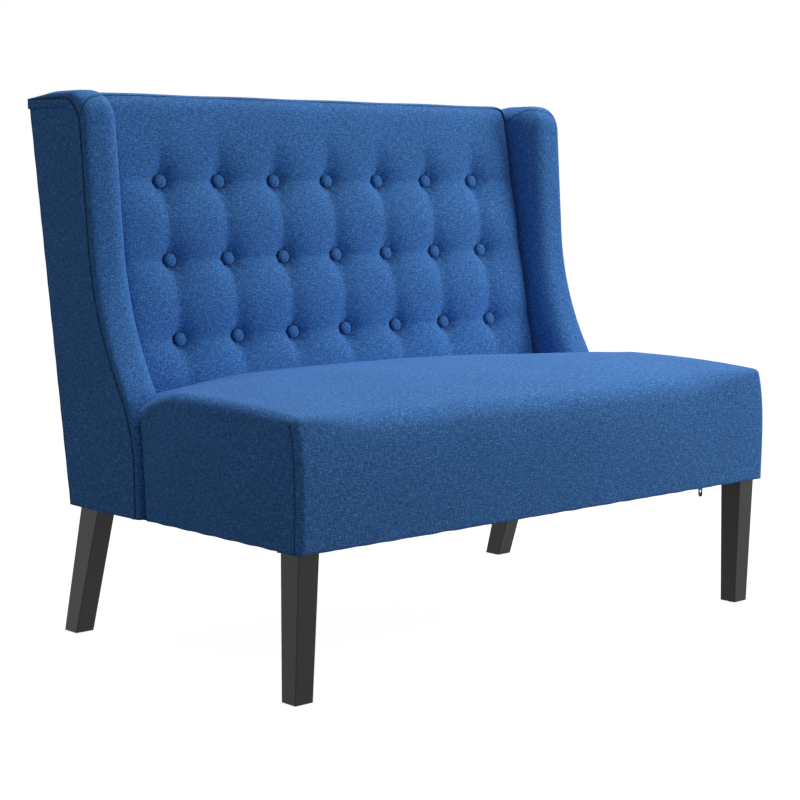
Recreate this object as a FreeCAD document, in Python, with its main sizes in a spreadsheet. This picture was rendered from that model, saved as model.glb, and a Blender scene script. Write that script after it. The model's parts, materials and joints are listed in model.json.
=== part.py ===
import FreeCAD, Part
import math
import os
import re
from types import SimpleNamespace

from FreeCAD import Placement, Rotation, Vector

# High back settee: an armless two-seat upholstered bench with a tall button-tufted back and two
# splayed wings, on four tapered wooden legs.
# Frame: +X is the viewer's right, -Y is the front, +Z is up, millimetres, z = 0 is the floor, and
# the origin lies under the middle of the settee.

doc = FreeCAD.newDocument("high_back_settee")

# Driving dimensions
DIMENSIONS = [
    ("overall_width", 1180, "over the tops of the two wings"),
    ("overall_depth", 740, "front of the seat to the top of the outer back"),
    ("overall_height", 976, "floor to the tops of the wings"),
    ("hem_height", 245, "floor to the hem of the cover, which is the leg height"),
    ("clearance", 0.3, "gap left between upholstered pieces that lie against each other"),
    ("seat_side_setback", 12, "side of the seat inside the wing's top"),
    ("seat_edge_height", 458, "top of the seat along its front edge"),
    ("seat_crown_height", 474, "top of the seat in the middle"),
    ("seat_side_crown_height", 464, "top of the seat beside the side panels"),
    ("seat_crown_setback", 310, "front of the seat to the highest line of its crown"),
    ("seat_front_lean", 14, "how far the front face leans back from hem to top"),
    ("seat_front_round", 28, "radius of the rolled front edge"),
    ("seat_front_draw", 4, "how far the front is drawn in at the hem"),
    ("seat_notch_width", 62, "seat foam pared away beside the wing, side to side"),
    ("seat_notch_depth", 42, "how deep the foam is pared at its side"),
    ("seat_notch_reach", 95, "how far in front of the wing the paring starts"),
    ("seat_cover_thickness", 14, "fabric with its wadding"),
    ("side_panel_thickness", 12, "boxed side panel with its wadding"),
    ("side_panel_round", 9, "rolled edge of the side panel"),
    ("hem_flap_thickness", 2.7, "fabric turned under the rails"),
    ("hem_flap_width", 50, "how far the fabric is turned under"),
    ("rail_thickness", 28, "seat rails, sawn pine"),
    ("rail_height", 90, "seat rails"),
    ("rail_setback", 19, "front of the seat to the front rail"),
    ("centre_rail_drop", 12, "centre rail lies below the webbing"),
    ("centre_rail_width", 30, "seat centre rail"),
    ("corner_block_leg", 70, "legs of the triangular corner blocks"),
    ("corner_block_height", 66, "corner blocks"),
    ("strap_width", 60, "elastic webbing"),
    ("strap_thickness", 2, "elastic webbing"),
    ("seat_strap_count", 8, "straps from front to rear rail"),
    ("seat_cross_strap_count", 5, "straps from side to side"),
    ("back_rake", 7.72, "lean of the outer back, degrees"),
    ("back_seam_height", 958, "top seam of the outer back"),
    ("outer_cover_thickness", 3, "fabric of the outer back and sides"),
    ("back_board_thickness", 2.3, "card lining under the outer back fabric"),
    ("post_width", 37, "back posts, side to side"),
    ("post_depth", 45, "back posts, front to rear"),
    ("back_rail_depth", 28, "middle and bottom rails of the back"),
    ("back_rail_height", 45, "rails of the back"),
    ("back_rail_bottom_height", 352, "underside of the back's bottom rail"),
    ("back_rail_middle_height", 630, "underside of the back's middle rail"),
    ("back_frame_height", 935, "top of the back frame"),
    ("hessian_thickness", 1.5, "backing cloth over the back webbing"),
    ("button_pitch", 130, "between buttons in a row"),
    ("row_pitch", 141, "height between the rows of buttons"),
    ("button_columns", 7, "buttons in a row"),
    ("button_rows", 3, "rows of buttons"),
    ("button_diameter", 23, "fabric-covered buttons"),
    ("button_thickness", 7, "fabric-covered buttons"),
    ("mid_row_height", 673.6, "floor to the middle row of buttons"),
    ("mid_row_reach", 146, "top seam of the outer back to the middle row of buttons"),
    ("pad_lean", 11.2, "lean of the tufted back, degrees"),
    ("pad_thickness", 20, "tufted layer behind the faces of the buttons"),
    ("pad_bottom_height", 466, "underside of the tufted back"),
    ("pad_top_height", 966, "front seam of the back's top strip"),
    ("tuft_puff", 15, "how far the fabric swells in front of the buttons between the rows"),
    ("tuft_row_puff", 9, "the same along a row of buttons"),
    ("tuft_crease", 6, "how far the crease between two rows stands in front of the buttons"),
    ("tuft_depth", 13.5, "how deep the fabric is drawn in behind the faces of the buttons"),
    ("tuft_shoulder", 22, "height above and below a button over which the dimple opens"),
    ("twine_diameter", 2.4, "waxed twine that pulls a button in"),
    ("twine_hole", 3.6, "needle hole that the twine runs through"),
    ("toggle_diameter", 18, "disc that anchors the twine behind the back"),
    ("toggle_thickness", 3, "twine toggle"),
    ("top_strip_crown", 8, "how far the top strip swells above the front seam"),
    ("wing_thickness", 78, "padded wing, side to side"),
    ("wing_flare", 8, "how far the wing leans outward over its height"),
    ("wing_foot_reach", 320, "top seam of the outer back to the foot of the wing"),
    ("wing_low_bend", 397, "height of the lower bend of the wing's front edge"),
    ("wing_low_radius", 270, "lower bend"),
    ("wing_sweep", 30, "lean of the wing's front edge between its bends, degrees"),
    ("wing_high_bend", 593, "height of the upper bend"),
    ("wing_high_radius", 523, "upper bend"),
    ("wing_upper_lean", 4.4, "lean of the wing's front edge above its bends, degrees"),
    ("wing_top_round", 50, "top front corner of the wing"),
    ("wing_rear_drop", 12, "how far the wing's top falls toward the rear"),
    ("wing_seam_inset", 26, "front of the wing to the seam of its outer side"),
    ("wing_outer_roll", 18, "rolled outer edge of the wing's front band"),
    ("wing_inner_roll", 34, "rolled inner edge of the wing's front band"),
    ("wing_cover_thickness", 4, "fabric with its wadding on the inner face"),
    ("wing_nose_padding", 12, "padding in front of the wing frame"),
    ("wing_ply_thickness", 15, "plywood panel of the wing"),
    ("welt_width", 6.5, "flat double-stitched welt along the seam of the outer side"),
    ("welt_thickness", 0.8, "the same, where it stands off the fabric"),
    ("back_corner_round", 36, "top corners of the tufted back"),
    ("block_height", 70, "spacer blocks between the posts and the wing panels"),
    ("wing_seat_height", 461, "underside of the padded wing, on the seat"),
    ("front_leg_top_width", 42, "side to side"),
    ("front_leg_top_depth", 46, "front to rear"),
    ("front_leg_foot_width", 36.6, "side to side"),
    ("front_leg_foot_depth", 35, "front to rear"),
    ("front_leg_inset", 25, "half the leg stance is this much less than half the wing stance"),
    ("front_leg_setback", 18.5, "front of the seat to the leg at its top"),
    ("rear_leg_width", 37.6, "side to side"),
    ("rear_leg_top_depth", 55, "front to rear"),
    ("rear_leg_foot_depth", 39, "front to rear"),
    ("rear_leg_inset", 32.5, "as for the front legs"),
    ("rear_leg_kick", 65, "how far the rear face runs back from hem to floor"),
    ("rear_bolt_inset", 11, "outer face of the rear leg to its hanger bolt"),
    ("leg_edge_round", 2, "softened edges of the legs"),
    ("glide_diameter", 22, "nail-on glides"),
    ("glide_thickness", 2.5, "nail-on glides"),
    ("bolt_diameter", 8, "hanger bolts and post bolts"),
    ("bolt_hole", 8.6, "clearance hole for the bolts"),
    ("leg_bolt_depth", 32, "depth of the hanger bolt in the leg and in the rail"),
    ("screw_diameter", 4, "wood screws through the wing panels"),
    ("screw_length", 40, "wood screws through the wing panels"),
    ("dust_cover_thickness", 1, "cloth under the seat"),
    ("dust_cover_inset", 12, "edge of the dust cover inside the hem"),
    ("zip_setback", 70, "front of the seat to the zip in the dust cover"),
    ("zip_end_inset", 102, "side of the settee to the end of the zip"),
    ("zip_slot", 8.4, "slot in the dust cover for the zip"),
    ("zip_row_gap", 1.2, "between the two rows of teeth"),
    ("zip_row_width", 2.4, "one row of teeth"),
    ("zip_row_height", 2, "one row of teeth"),
    ("zip_tape_width", 11, "woven tape beside one row of teeth"),
    ("zip_tape_thickness", 0.6, "woven tape"),
    ("slider_length", 10, "zip slider"),
    ("slider_width", 7.2, "zip slider"),
    ("slider_plate", 1, "plates of the slider"),
    ("slider_inset", 122, "side of the settee to the closed slider"),
    ("pull_length", 27, "zip pull, from its pin to its tip"),
    ("pull_width", 9, "zip pull"),
    ("pull_thickness", 1.2, "zip pull"),
    ("pull_eye_radius", 1.9, "eye of the pull, round the slider's pin"),
    ("pull_pin_diameter", 1.6, "pin of the slider"),
]

sheet = doc.addObject("Spreadsheet::Sheet", "Sizes")
for row, (alias, number, note) in enumerate(DIMENSIONS, start=1):
    sheet.set("A%d" % row, alias)
    sheet.set("B%d" % row, str(number))
    sheet.set("C%d" % row, note)
    sheet.setAlias("B%d" % row, alias)
doc.recompute()
g = SimpleNamespace(**{alias: float(sheet.get(alias)) for alias, number, note in DIMENSIONS})

pieces = []


def keep(feature, label):
    """Name a finished sub-part, which becomes one node."""
    feature.Label = label
    pieces.append(feature)
    return feature


def cells(text):
    """Turn the names of dimensions in a formula into cells of the sheet."""
    return re.sub(r"[a-z][a-z_]+", lambda found: "Sizes." + found.group()
                  if hasattr(g, found.group()) else found.group(), text)


def solid(label, shape):
    """A finished sub-part whose shape is worked out below."""
    feature = doc.addObject("Part::Feature", label)
    feature.Shape = shape
    return keep(feature, label)


def mirrored(source, label):
    """The same sub-part on the other side of the settee."""
    copy = doc.addObject("Part::Mirroring", label)
    copy.Source = source
    copy.Base = Vector(0, 0, 0)
    copy.Normal = Vector(1, 0, 0)
    return keep(copy, label)


def board(name, size, corner):
    """A sawn board: three formulas for its size and three for its low corner."""
    box = doc.addObject("Part::Box", name)
    for prop, text in zip(("Length", "Width", "Height"), size):
        box.setExpression(prop, cells(text))
    for axis, text in zip("xyz", corner):
        box.setExpression(".Placement.Base." + axis, cells(text))
    return box


def rod(name, diameter, length, base, turn=None):
    """A round bar: formulas for its diameter, length and base, upright unless turned."""
    bar = doc.addObject("Part::Cylinder", name)
    bar.setExpression("Radius", cells(diameter) + " / 2")
    bar.setExpression("Height", cells(length))
    if turn is not None:
        bar.Placement = Placement(Vector(0, 0, 0), turn)
    for axis, text in zip("xyz", base):
        bar.setExpression(".Placement.Base." + axis, cells(text))
    return bar


def drilled(base, tools, label):
    """A sub-part with the tools cut out of it."""
    tool = tools[0]
    if len(tools) > 1:
        tool = doc.addObject("Part::Compound", label + "_tools")
        tool.Links = tools
    cut = doc.addObject("Part::Cut", label)
    cut.Base = base
    cut.Tool = tool
    return keep(cut, label)


def box(x0, x1, y0, y1, z0, z1):
    """A block between two corners."""
    return Part.makeBox(x1 - x0, y1 - y0, z1 - z0, Vector(x0, y0, z0))


def bar(start, end, diameter):
    """A round bar between two points."""
    axis = end - start
    return Part.makeCylinder(diameter / 2, axis.Length, start, axis)


def faceted_bar(start, end, diameter, sides):
    """A bar between two points whose section is a regular polygon."""
    axis = end - start
    ring = [Vector(diameter / 2 * math.cos(2 * math.pi * index / sides),
                   diameter / 2 * math.sin(2 * math.pi * index / sides), 0)
            for index in range(sides)]
    shape = Part.Face(Part.makePolygon(ring + ring[:1])).extrude(Vector(0, 0, axis.Length))
    shape.Placement = Placement(start, Rotation(Vector(0, 0, 1), axis))
    return shape


def mirror(shape):
    return shape.mirror(Vector(0, 0, 0), Vector(1, 0, 0))


def both(shape):
    """A group of the shape and its mirror image."""
    return Part.makeCompound([shape, mirror(shape)])


def rounded_outline(corners):
    """A closed wire at x = 0 through corners (y, z, radius), each rounded by a tangent arc."""
    points = [Vector(0, y, z) for y, z, radius in corners]
    trims = []
    for index, (y, z, radius) in enumerate(corners):
        corner = points[index]
        back = (points[index - 1] - corner).normalize()
        ahead = (points[(index + 1) % len(points)] - corner).normalize()
        if radius == 0:
            trims.append((corner, None, corner))
            continue
        half = math.acos(max(-1.0, min(1.0, back.dot(ahead)))) / 2
        reach = radius / math.tan(half)
        inward = (back + ahead).normalize()
        middle = corner + inward * (radius / math.sin(half) - radius)
        trims.append((corner + back * reach, middle, corner + ahead * reach))
    edges = []
    for index, (start, middle, end) in enumerate(trims):
        if middle is not None:
            edges.append(Part.Arc(start, middle, end).toShape())
        following = trims[(index + 1) % len(trims)][0]
        if (following - end).Length > 1e-6:
            edges.append(Part.LineSegment(end, following).toShape())
    return Part.Wire(edges)


def extruded(wire, x0, x1):
    """The wire at x = 0 filled and carried from x0 to x1."""
    face = Part.Face(wire)
    face.translate(Vector(x0, 0, 0))
    return face.extrude(Vector(x1 - x0, 0, 0))


def inset(wire, distance):
    """The wire moved inward, or outward where the distance is negative."""
    return Part.Face(wire).makeOffset2D(-distance).OuterWire


# Planes and lines that the pieces share
front_y = -g.overall_depth / 2
rake_slope = math.tan(math.radians(g.back_rake))
pad_slope = math.tan(math.radians(g.pad_lean))
flare_angle = math.degrees(math.atan(g.wing_flare / (g.overall_height - g.hem_height)))
flare_slope = math.tan(math.radians(flare_angle))
wing_outer_x = g.overall_width / 2 - g.wing_flare
wing_inner_x = wing_outer_x - g.wing_thickness
wing_ply_x = wing_outer_x - g.outer_cover_thickness - g.wing_ply_thickness
frame_half_width = wing_ply_x - g.clearance
rail_inner_x = frame_half_width - g.rail_thickness
post_inner_x = rail_inner_x - g.post_width
rail_bottom_z = g.hem_height + g.hem_flap_thickness + g.clearance
rail_top_z = rail_bottom_z + g.rail_height
board_depth = g.outer_cover_thickness + g.clearance
frame_depth = board_depth + g.back_board_thickness
webbing_depth = frame_depth + g.post_depth
hessian_depth = webbing_depth + 2 * g.strap_thickness
foam_depth = hessian_depth + g.hessian_thickness


def rear_y(z, depth=0.0):
    """The raked outer back at a height, or a plane that far inside it."""
    return g.overall_depth / 2 - rake_slope * (g.back_seam_height - z) - depth


def tuft_y(z, behind=0.0):
    """The leaning plane through the faces of the buttons, or a plane that far behind it."""
    return g.overall_depth / 2 - g.mid_row_reach + pad_slope * (z - g.mid_row_height) + behind


def splayed_x(x, z):
    """Where an upright plane of the wing lies at a height once the wing is splayed."""
    turn = math.cos(math.radians(flare_angle))
    return wing_outer_x + (x - wing_outer_x) / turn + flare_slope * (z - g.hem_height)


def splayed(shape):
    """The right-hand wing's lean, about the foot of its outer face."""
    return shape.rotated(Vector(wing_outer_x, 0, g.hem_height), Vector(0, 1, 0), flare_angle)


def raked_slab(x0, x1, z0, z1, near, far):
    """A slab between two planes that lie near and far inside the outer back."""
    corners = [(rear_y(z0, far), z0, 0), (rear_y(z0, near), z0, 0),
               (rear_y(z1, near), z1, 0), (rear_y(z1, far), z1, 0)]
    return extruded(rounded_outline(corners), x0, x1)


# Legs: black hardwood, square, tapered toward the floor
def tapered_leg(name, low, high):
    """A leg between two level rectangles: x from, x to, y from and y to as formulas."""
    wedge = doc.addObject("Part::Wedge", name + "_taper")
    wedge.Placement = Placement(Vector(0, 0, 0), Rotation(Vector(1, 0, 0), 90))
    for prop, formula in (("Ymin", "glide_thickness"), ("Ymax", "hem_height"),
                          ("Xmin", low[0]), ("Xmax", low[1]),
                          ("Zmin", "-(" + low[3] + ")"), ("Zmax", "-(" + low[2] + ")"),
                          ("X2min", high[0]), ("X2max", high[1]),
                          ("Z2min", "-(" + high[3] + ")"), ("Z2max", "-(" + high[2] + ")")):
        wedge.setExpression(prop, cells(formula))
    doc.recompute()
    softened = doc.addObject("Part::Fillet", name + "_softened")
    softened.Base = wedge
    softened.Edges = [
        (number, g.leg_edge_round, g.leg_edge_round)
        for number, edge in enumerate(wedge.Shape.Edges, start=1)
        if edge.BoundBox.ZLength > g.hem_height / 2]
    return softened


front_stance = "(overall_width / 2 - front_leg_inset)"
front_face = "(front_leg_setback - overall_depth / 2)"
front_inner_face = front_face + " + front_leg_top_depth"
front_leg = tapered_leg(
    "front_leg",
    (front_stance + " - front_leg_foot_width", front_stance,
     front_inner_face + " - front_leg_foot_depth", front_inner_face),
    (front_stance + " - front_leg_top_width", front_stance, front_face, front_inner_face))
front_bolt_x = g.overall_width / 2 - g.front_leg_inset - g.front_leg_top_width / 2
front_bolt_y = front_y + g.front_leg_setback + g.front_leg_top_depth / 2
front_bolt_base = (front_stance + " - front_leg_top_width / 2",
                   front_face + " + front_leg_top_depth / 2")

rear_hem = rear_y(g.hem_height)
rear_stance = "(overall_width / 2 - rear_leg_inset)"
rear_face = "(overall_depth / 2 - tan(back_rake * 1 deg) * (back_seam_height - hem_height))"
rear_foot_face = rear_face + " + rear_leg_kick"
rear_leg = tapered_leg(
    "rear_leg",
    (rear_stance + " - rear_leg_width", rear_stance,
     rear_foot_face + " - rear_leg_foot_depth", rear_foot_face),
    (rear_stance + " - rear_leg_width", rear_stance,
     rear_face + " - rear_leg_top_depth", rear_face))
rear_bolt_x = g.overall_width / 2 - g.rear_leg_inset - g.rear_bolt_inset
rear_bolt_y = rear_hem - g.rear_leg_top_depth / 2
rear_bolt_base = (rear_stance + " - rear_bolt_inset",
                  rear_face + " - rear_leg_top_depth / 2")

for name, leg, base in (("front_leg", front_leg, front_bolt_base),
                        ("rear_leg", rear_leg, rear_bolt_base)):
    bore = rod(name + "_bolt_bore", "bolt_hole", "leg_bolt_depth + 1",
               (base[0], base[1], "hem_height - leg_bolt_depth - 1"))
    mirrored(drilled(leg, [bore], name + "_right"), name + "_left")

leg_bolts = [(front_bolt_x, front_bolt_y), (rear_bolt_x, rear_bolt_y)]
hanger_bolts = [
    bar(Vector(x, y, g.hem_height - g.leg_bolt_depth),
        Vector(x, y, rail_bottom_z + g.leg_bolt_depth), g.bolt_diameter)
    for x, y in leg_bolts]
solid("leg_hanger_bolts", Part.makeCompound([both(one) for one in hanger_bolts]))

# Glides: flat discs of hard plastic nailed to the middle of each foot
front_foot = (g.overall_width / 2 - g.front_leg_inset - g.front_leg_foot_width / 2,
              front_y + g.front_leg_setback + g.front_leg_top_depth - g.front_leg_foot_depth / 2)
rear_foot = (g.overall_width / 2 - g.rear_leg_inset - g.rear_leg_width / 2,
             rear_hem + g.rear_leg_kick - g.rear_leg_foot_depth / 2)
glides = [Part.makeCylinder(g.glide_diameter / 2, g.glide_thickness, Vector(x, y, 0))
          for x, y in (front_foot, rear_foot)]
solid("leg_glides", Part.makeCompound([both(one) for one in glides]))

# Seat frame: four pine rails, a centre rail and triangular corner blocks
rail_bottom = "(hem_height + hem_flap_thickness + clearance)"
half_frame = ("(overall_width / 2 - wing_flare - outer_cover_thickness - wing_ply_thickness"
              " - clearance)")
rear_rail_y = rear_y(rail_bottom_z, webbing_depth)
rear_rail_face = ("overall_depth / 2 - tan(back_rake * 1 deg) * (back_seam_height - "
                  + rail_bottom + ") - outer_cover_thickness - clearance - back_board_thickness - post_depth")
side_rail_length = rear_y(rail_bottom_z, frame_depth) - front_y - g.rail_setback
rail_holes = []
for index, (x, y) in enumerate(leg_bolts):
    base = (front_bolt_base, rear_bolt_base)[index]
    rail_holes.append(rod("rail_leg_hole_%d" % index, "bolt_hole", "leg_bolt_depth + 1",
                          (base[0], base[1], rail_bottom)))
post_bolt_heights = [rail_bottom_z + g.rail_height * share for share in (0.48, 0.82)]
along_x = Rotation(Vector(0, 1, 0), 90)
for index, height in enumerate(post_bolt_heights):
    share = ("0.48", "0.82")[index]
    rail_holes.append(rod(
        "rail_post_hole_%d" % index, "bolt_hole", "rail_thickness + 2",
        (half_frame + " - rail_thickness - 1",
         rear_rail_face + " + post_depth / 2 + tan(back_rake * 1 deg) * rail_height * " + share,
         rail_bottom + " + rail_height * " + share), along_x))
side_rail = board(
    "side_rail_board",
    ("rail_thickness", rear_rail_face + " + post_depth + overall_depth / 2 - rail_setback",
     "rail_height"),
    (half_frame + " - rail_thickness", "rail_setback - overall_depth / 2", rail_bottom))
rail_right = drilled(side_rail, rail_holes, "seat_rail_right")
mirrored(rail_right, "seat_rail_left")
keep(board("seat_rail_front",
           ("2 * " + half_frame + " - 2 * rail_thickness", "rail_thickness", "rail_height"),
           ("rail_thickness - " + half_frame, "rail_setback - overall_depth / 2",
            rail_bottom)), "seat_rail_front")
keep(board("seat_rail_rear",
           ("2 * " + half_frame + " - 2 * rail_thickness", "rail_thickness", "rail_height"),
           ("rail_thickness - " + half_frame, rear_rail_face + " - rail_thickness",
            rail_bottom)), "seat_rail_rear")
keep(board("seat_rail_centre",
           ("centre_rail_width",
            rear_rail_face + " - 2 * rail_thickness - rail_setback + overall_depth / 2",
            "rail_height - centre_rail_drop"),
           ("-centre_rail_width / 2", "rail_setback + rail_thickness - overall_depth / 2",
            rail_bottom)), "seat_rail_centre")

block_low = rail_bottom_z + (g.rail_height - g.corner_block_height) / 2
front_inner_y = front_y + g.rail_setback + g.rail_thickness
rear_inner_y = rear_rail_y - g.rail_thickness
blocks = []
for corner_y, toward in ((front_inner_y, 1), (rear_inner_y, -1)):
    corners = [Vector(rail_inner_x, corner_y, block_low),
               Vector(rail_inner_x - g.corner_block_leg, corner_y, block_low),
               Vector(rail_inner_x, corner_y + toward * g.corner_block_leg, block_low)]
    triangle = Part.Face(Part.makePolygon(corners + corners[:1]))
    blocks.append(triangle.extrude(Vector(0, 0, g.corner_block_height)))
solid("seat_corner_blocks", Part.makeCompound([both(block) for block in blocks]))

# Seat webbing: elastic straps stapled across the rails, one layer each way
strap_front = front_y + g.rail_setback
seat_straps = []
seat_strap_count = int(round(g.seat_strap_count))
strap_span = 2 * rail_inner_x - g.strap_width
for index in range(seat_strap_count):
    middle = -strap_span / 2 + strap_span * (index + 0.5) / seat_strap_count
    seat_straps.append(box(middle - g.strap_width / 2, middle + g.strap_width / 2,
                           strap_front, rear_rail_y,
                           rail_top_z, rail_top_z + g.strap_thickness))
solid("seat_webbing_lengthways", Part.makeCompound(seat_straps))
cross_straps = []
cross_count = int(round(g.seat_cross_strap_count))
cross_span = rear_inner_y - front_inner_y
cross_low = rail_top_z + g.strap_thickness
for index in range(cross_count):
    middle = front_inner_y + cross_span * (index + 0.5) / cross_count
    cross_straps.append(box(-frame_half_width, frame_half_width,
                            middle - g.strap_width / 2, middle + g.strap_width / 2,
                            cross_low, cross_low + g.strap_thickness))
solid("seat_webbing_crossways", Part.makeCompound(cross_straps))

# Back frame: two raked posts and three rails
post_low = rail_bottom_z
post = raked_slab(post_inner_x, rail_inner_x, post_low, g.back_frame_height,
                  frame_depth, webbing_depth)
post_bolts = []
for height in post_bolt_heights:
    depth = rear_y(height, frame_depth + g.post_depth / 2)
    shank = bar(Vector(post_inner_x, depth, height), Vector(frame_half_width, depth, height),
                g.bolt_diameter)
    head = faceted_bar(Vector(post_inner_x - 5, depth, height),
                       Vector(post_inner_x, depth, height), 2 * g.bolt_diameter, 6)
    post_bolts.append(shank.fuse(head).removeSplitter())
    post = post.cut(bar(Vector(post_inner_x - 1, depth, height),
                        Vector(rail_inner_x + 1, depth, height), g.bolt_hole))
solid("back_post_right", post)
solid("back_post_left", mirror(post))
solid("back_post_bolts", Part.makeCompound([both(bolt) for bolt in post_bolts]))
solid("back_rail_top", raked_slab(-post_inner_x, post_inner_x,
                                  g.back_frame_height - g.back_rail_height, g.back_frame_height,
                                  frame_depth, webbing_depth))
for name, low in (("back_rail_middle", g.back_rail_middle_height),
                  ("back_rail_bottom", g.back_rail_bottom_height)):
    near = frame_depth if name == "back_rail_middle" else webbing_depth - g.back_rail_depth
    solid(name, raked_slab(-post_inner_x, post_inner_x, low, low + g.back_rail_height,
                           near, near + g.back_rail_depth))

# Back webbing: straps between the rows and columns of buttons, then a backing cloth
columns = int(round(g.button_columns))
rows = int(round(g.button_rows))
column_x = [(index - (columns - 1) / 2) * g.button_pitch for index in range(columns)]
row_z = [g.mid_row_height + (index - (rows - 1) / 2) * g.row_pitch for index in range(rows)]
between_rows = [row_z[0] - 0.43 * g.row_pitch] + [z + g.row_pitch / 2 for z in row_z]
between_columns = [column_x[0] - g.button_pitch / 2] + [x + g.button_pitch / 2 for x in column_x]
half_strap = g.strap_width / 2
solid("back_webbing_cross", Part.makeCompound([
    raked_slab(-rail_inner_x, rail_inner_x, z - half_strap, z + half_strap,
               webbing_depth, webbing_depth + g.strap_thickness) for z in between_rows]))
solid("back_webbing_upright", Part.makeCompound([
    raked_slab(x - half_strap, x + half_strap,
               g.back_rail_bottom_height, g.back_frame_height,
               webbing_depth + g.strap_thickness, hessian_depth) for x in between_columns]))

# Tufting: each button is pulled in by a twine that runs back through its needle hole
pad_normal = Vector(0, math.cos(math.radians(g.pad_lean)), -math.sin(math.radians(g.pad_lean)))
back_normal = Vector(0, math.cos(math.radians(g.back_rake)), -math.sin(math.radians(g.back_rake)))
tuft_points = [Vector(x, tuft_y(z), z) for z in row_z for x in column_x]
twine_sides = 6
button_sides = 10
toggle_sides = 8


def to_plane(start, depth):
    """Where a line along the twine from start meets the plane that far inside the outer back."""
    gap = rear_y(start.z, depth) - start.y
    return start + pad_normal * (gap / (pad_normal.y - rake_slope * pad_normal.z))


needle_tool = Part.makeCompound([
    faceted_bar(point, to_plane(point, 0), g.twine_hole, twine_sides) for point in tuft_points])


def back_half_width(z):
    """Half the width between the splayed wings at a height."""
    return splayed_x(wing_inner_x, z) - g.clearance


def between_wings(shape, reach=0.0):
    """The part of a shape between the two wings, its top corners rounded."""
    low = g.hem_height
    high = g.overall_height
    half_low = back_half_width(low) + reach
    half_high = back_half_width(high) + reach
    corners = [(-half_low, low, 0), (half_low, low, 0),
               (half_high, high, g.back_corner_round), (-half_high, high, g.back_corner_round)]
    face = Part.Face(rounded_outline(corners)).rotated(Vector(0, 0, 0), Vector(0, 0, 1), -90)
    face.translate(Vector(0, front_y, 0))
    return shape.common(face.extrude(Vector(0, 3 * g.overall_depth / 2, 0)))


hessian = raked_slab(-rail_inner_x, rail_inner_x, g.back_rail_bottom_height, g.back_frame_height,
                     hessian_depth, foam_depth)
solid("back_hessian", hessian.cut(needle_tool))
foam_low = g.pad_bottom_height + g.clearance
foam_high = g.back_frame_height - g.clearance
foam_corners = [(tuft_y(foam_low, g.pad_thickness + g.clearance), foam_low, 0),
                (rear_y(foam_low, foam_depth + g.clearance), foam_low, 0),
                (rear_y(foam_high, foam_depth + g.clearance), foam_high, 0),
                (tuft_y(foam_high, g.pad_thickness + g.clearance), foam_high, 0)]
back_foam = extruded(rounded_outline(foam_corners), -wing_outer_x, wing_outer_x)
solid("back_foam", between_wings(back_foam).cut(needle_tool))

# Tufted inner back: the fabric swells between the columns of buttons and is drawn in at the rows
edge_draw = 0.6 * g.pad_thickness
seat_gap = row_z[0] - g.pad_bottom_height
top_gap = g.pad_top_height - row_z[-1]
shoulder_crease = 0.15 * g.tuft_depth
puff_facets = 6
shoulder_puff = -(g.tuft_row_puff + g.tuft_puff) / 2
pad_sections = [(g.pad_bottom_height, edge_draw / 2, edge_draw / 3),
                (g.pad_bottom_height + 0.3 * seat_gap, shoulder_crease, -g.tuft_row_puff)]
for index, z in enumerate(row_z):
    pad_sections.append((z - g.tuft_shoulder, shoulder_crease, shoulder_puff))
    pad_sections.append((z, g.tuft_depth, -g.tuft_row_puff))
    pad_sections.append((z + g.tuft_shoulder, shoulder_crease, shoulder_puff))
    if index < rows - 1:
        pad_sections.append((z + g.row_pitch / 2, -g.tuft_crease, -g.tuft_puff))
pad_sections += [(row_z[-1] + 0.5 * top_gap, -g.tuft_crease, -g.tuft_puff),
                 (row_z[-1] + 0.85 * top_gap, -g.tuft_row_puff, -g.tuft_row_puff - 2),
                 (g.pad_top_height, edge_draw / 3, edge_draw / 4)]


def pad_section(z, crease, puff):
    """One level outline: a straight back, and a faceted bulge between each two creases."""
    half = back_half_width(z)
    stops = [-half] + column_x + [half]
    depths = [edge_draw] + [crease] * len(column_x) + [edge_draw]
    ends = [Vector(x, tuft_y(z, depth), z) for x, depth in zip(stops, depths)]
    edges = []
    for start, end in zip(ends[:-1], ends[1:]):
        middle = Vector((start.x + end.x) / 2, tuft_y(z, puff), z)
        arc = Part.Arc(start, middle, end).toShape()
        facets = arc.discretize(Number=puff_facets + 1)
        for near, far in zip(facets[:-1], facets[1:]):
            edges.append(Part.LineSegment(near, far).toShape())
    rear = [Vector(half, tuft_y(z, g.pad_thickness), z), Vector(-half, tuft_y(z, g.pad_thickness), z)]
    edges.append(Part.LineSegment(ends[-1], rear[0]).toShape())
    edges.append(Part.LineSegment(rear[0], rear[1]).toShape())
    edges.append(Part.LineSegment(rear[1], ends[0]).toShape())
    return Part.Wire(edges)


button_seat = 0.8 * g.button_thickness
pad = Part.makeLoft([pad_section(*section) for section in pad_sections], True, True)
solid("back_cover_tufted", between_wings(pad, 0.5).cut(needle_tool))

# Buttons: fabric drawn over a dome in small gathers, on a twine knotted to a toggle behind
def button_ring(radius, height):
    """One ring of the gathered cover."""
    ring = [Vector(radius * math.cos(2 * math.pi * index / button_sides),
                   radius * math.sin(2 * math.pi * index / button_sides), height)
            for index in range(button_sides)]
    return Part.makePolygon(ring + ring[:1])


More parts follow.
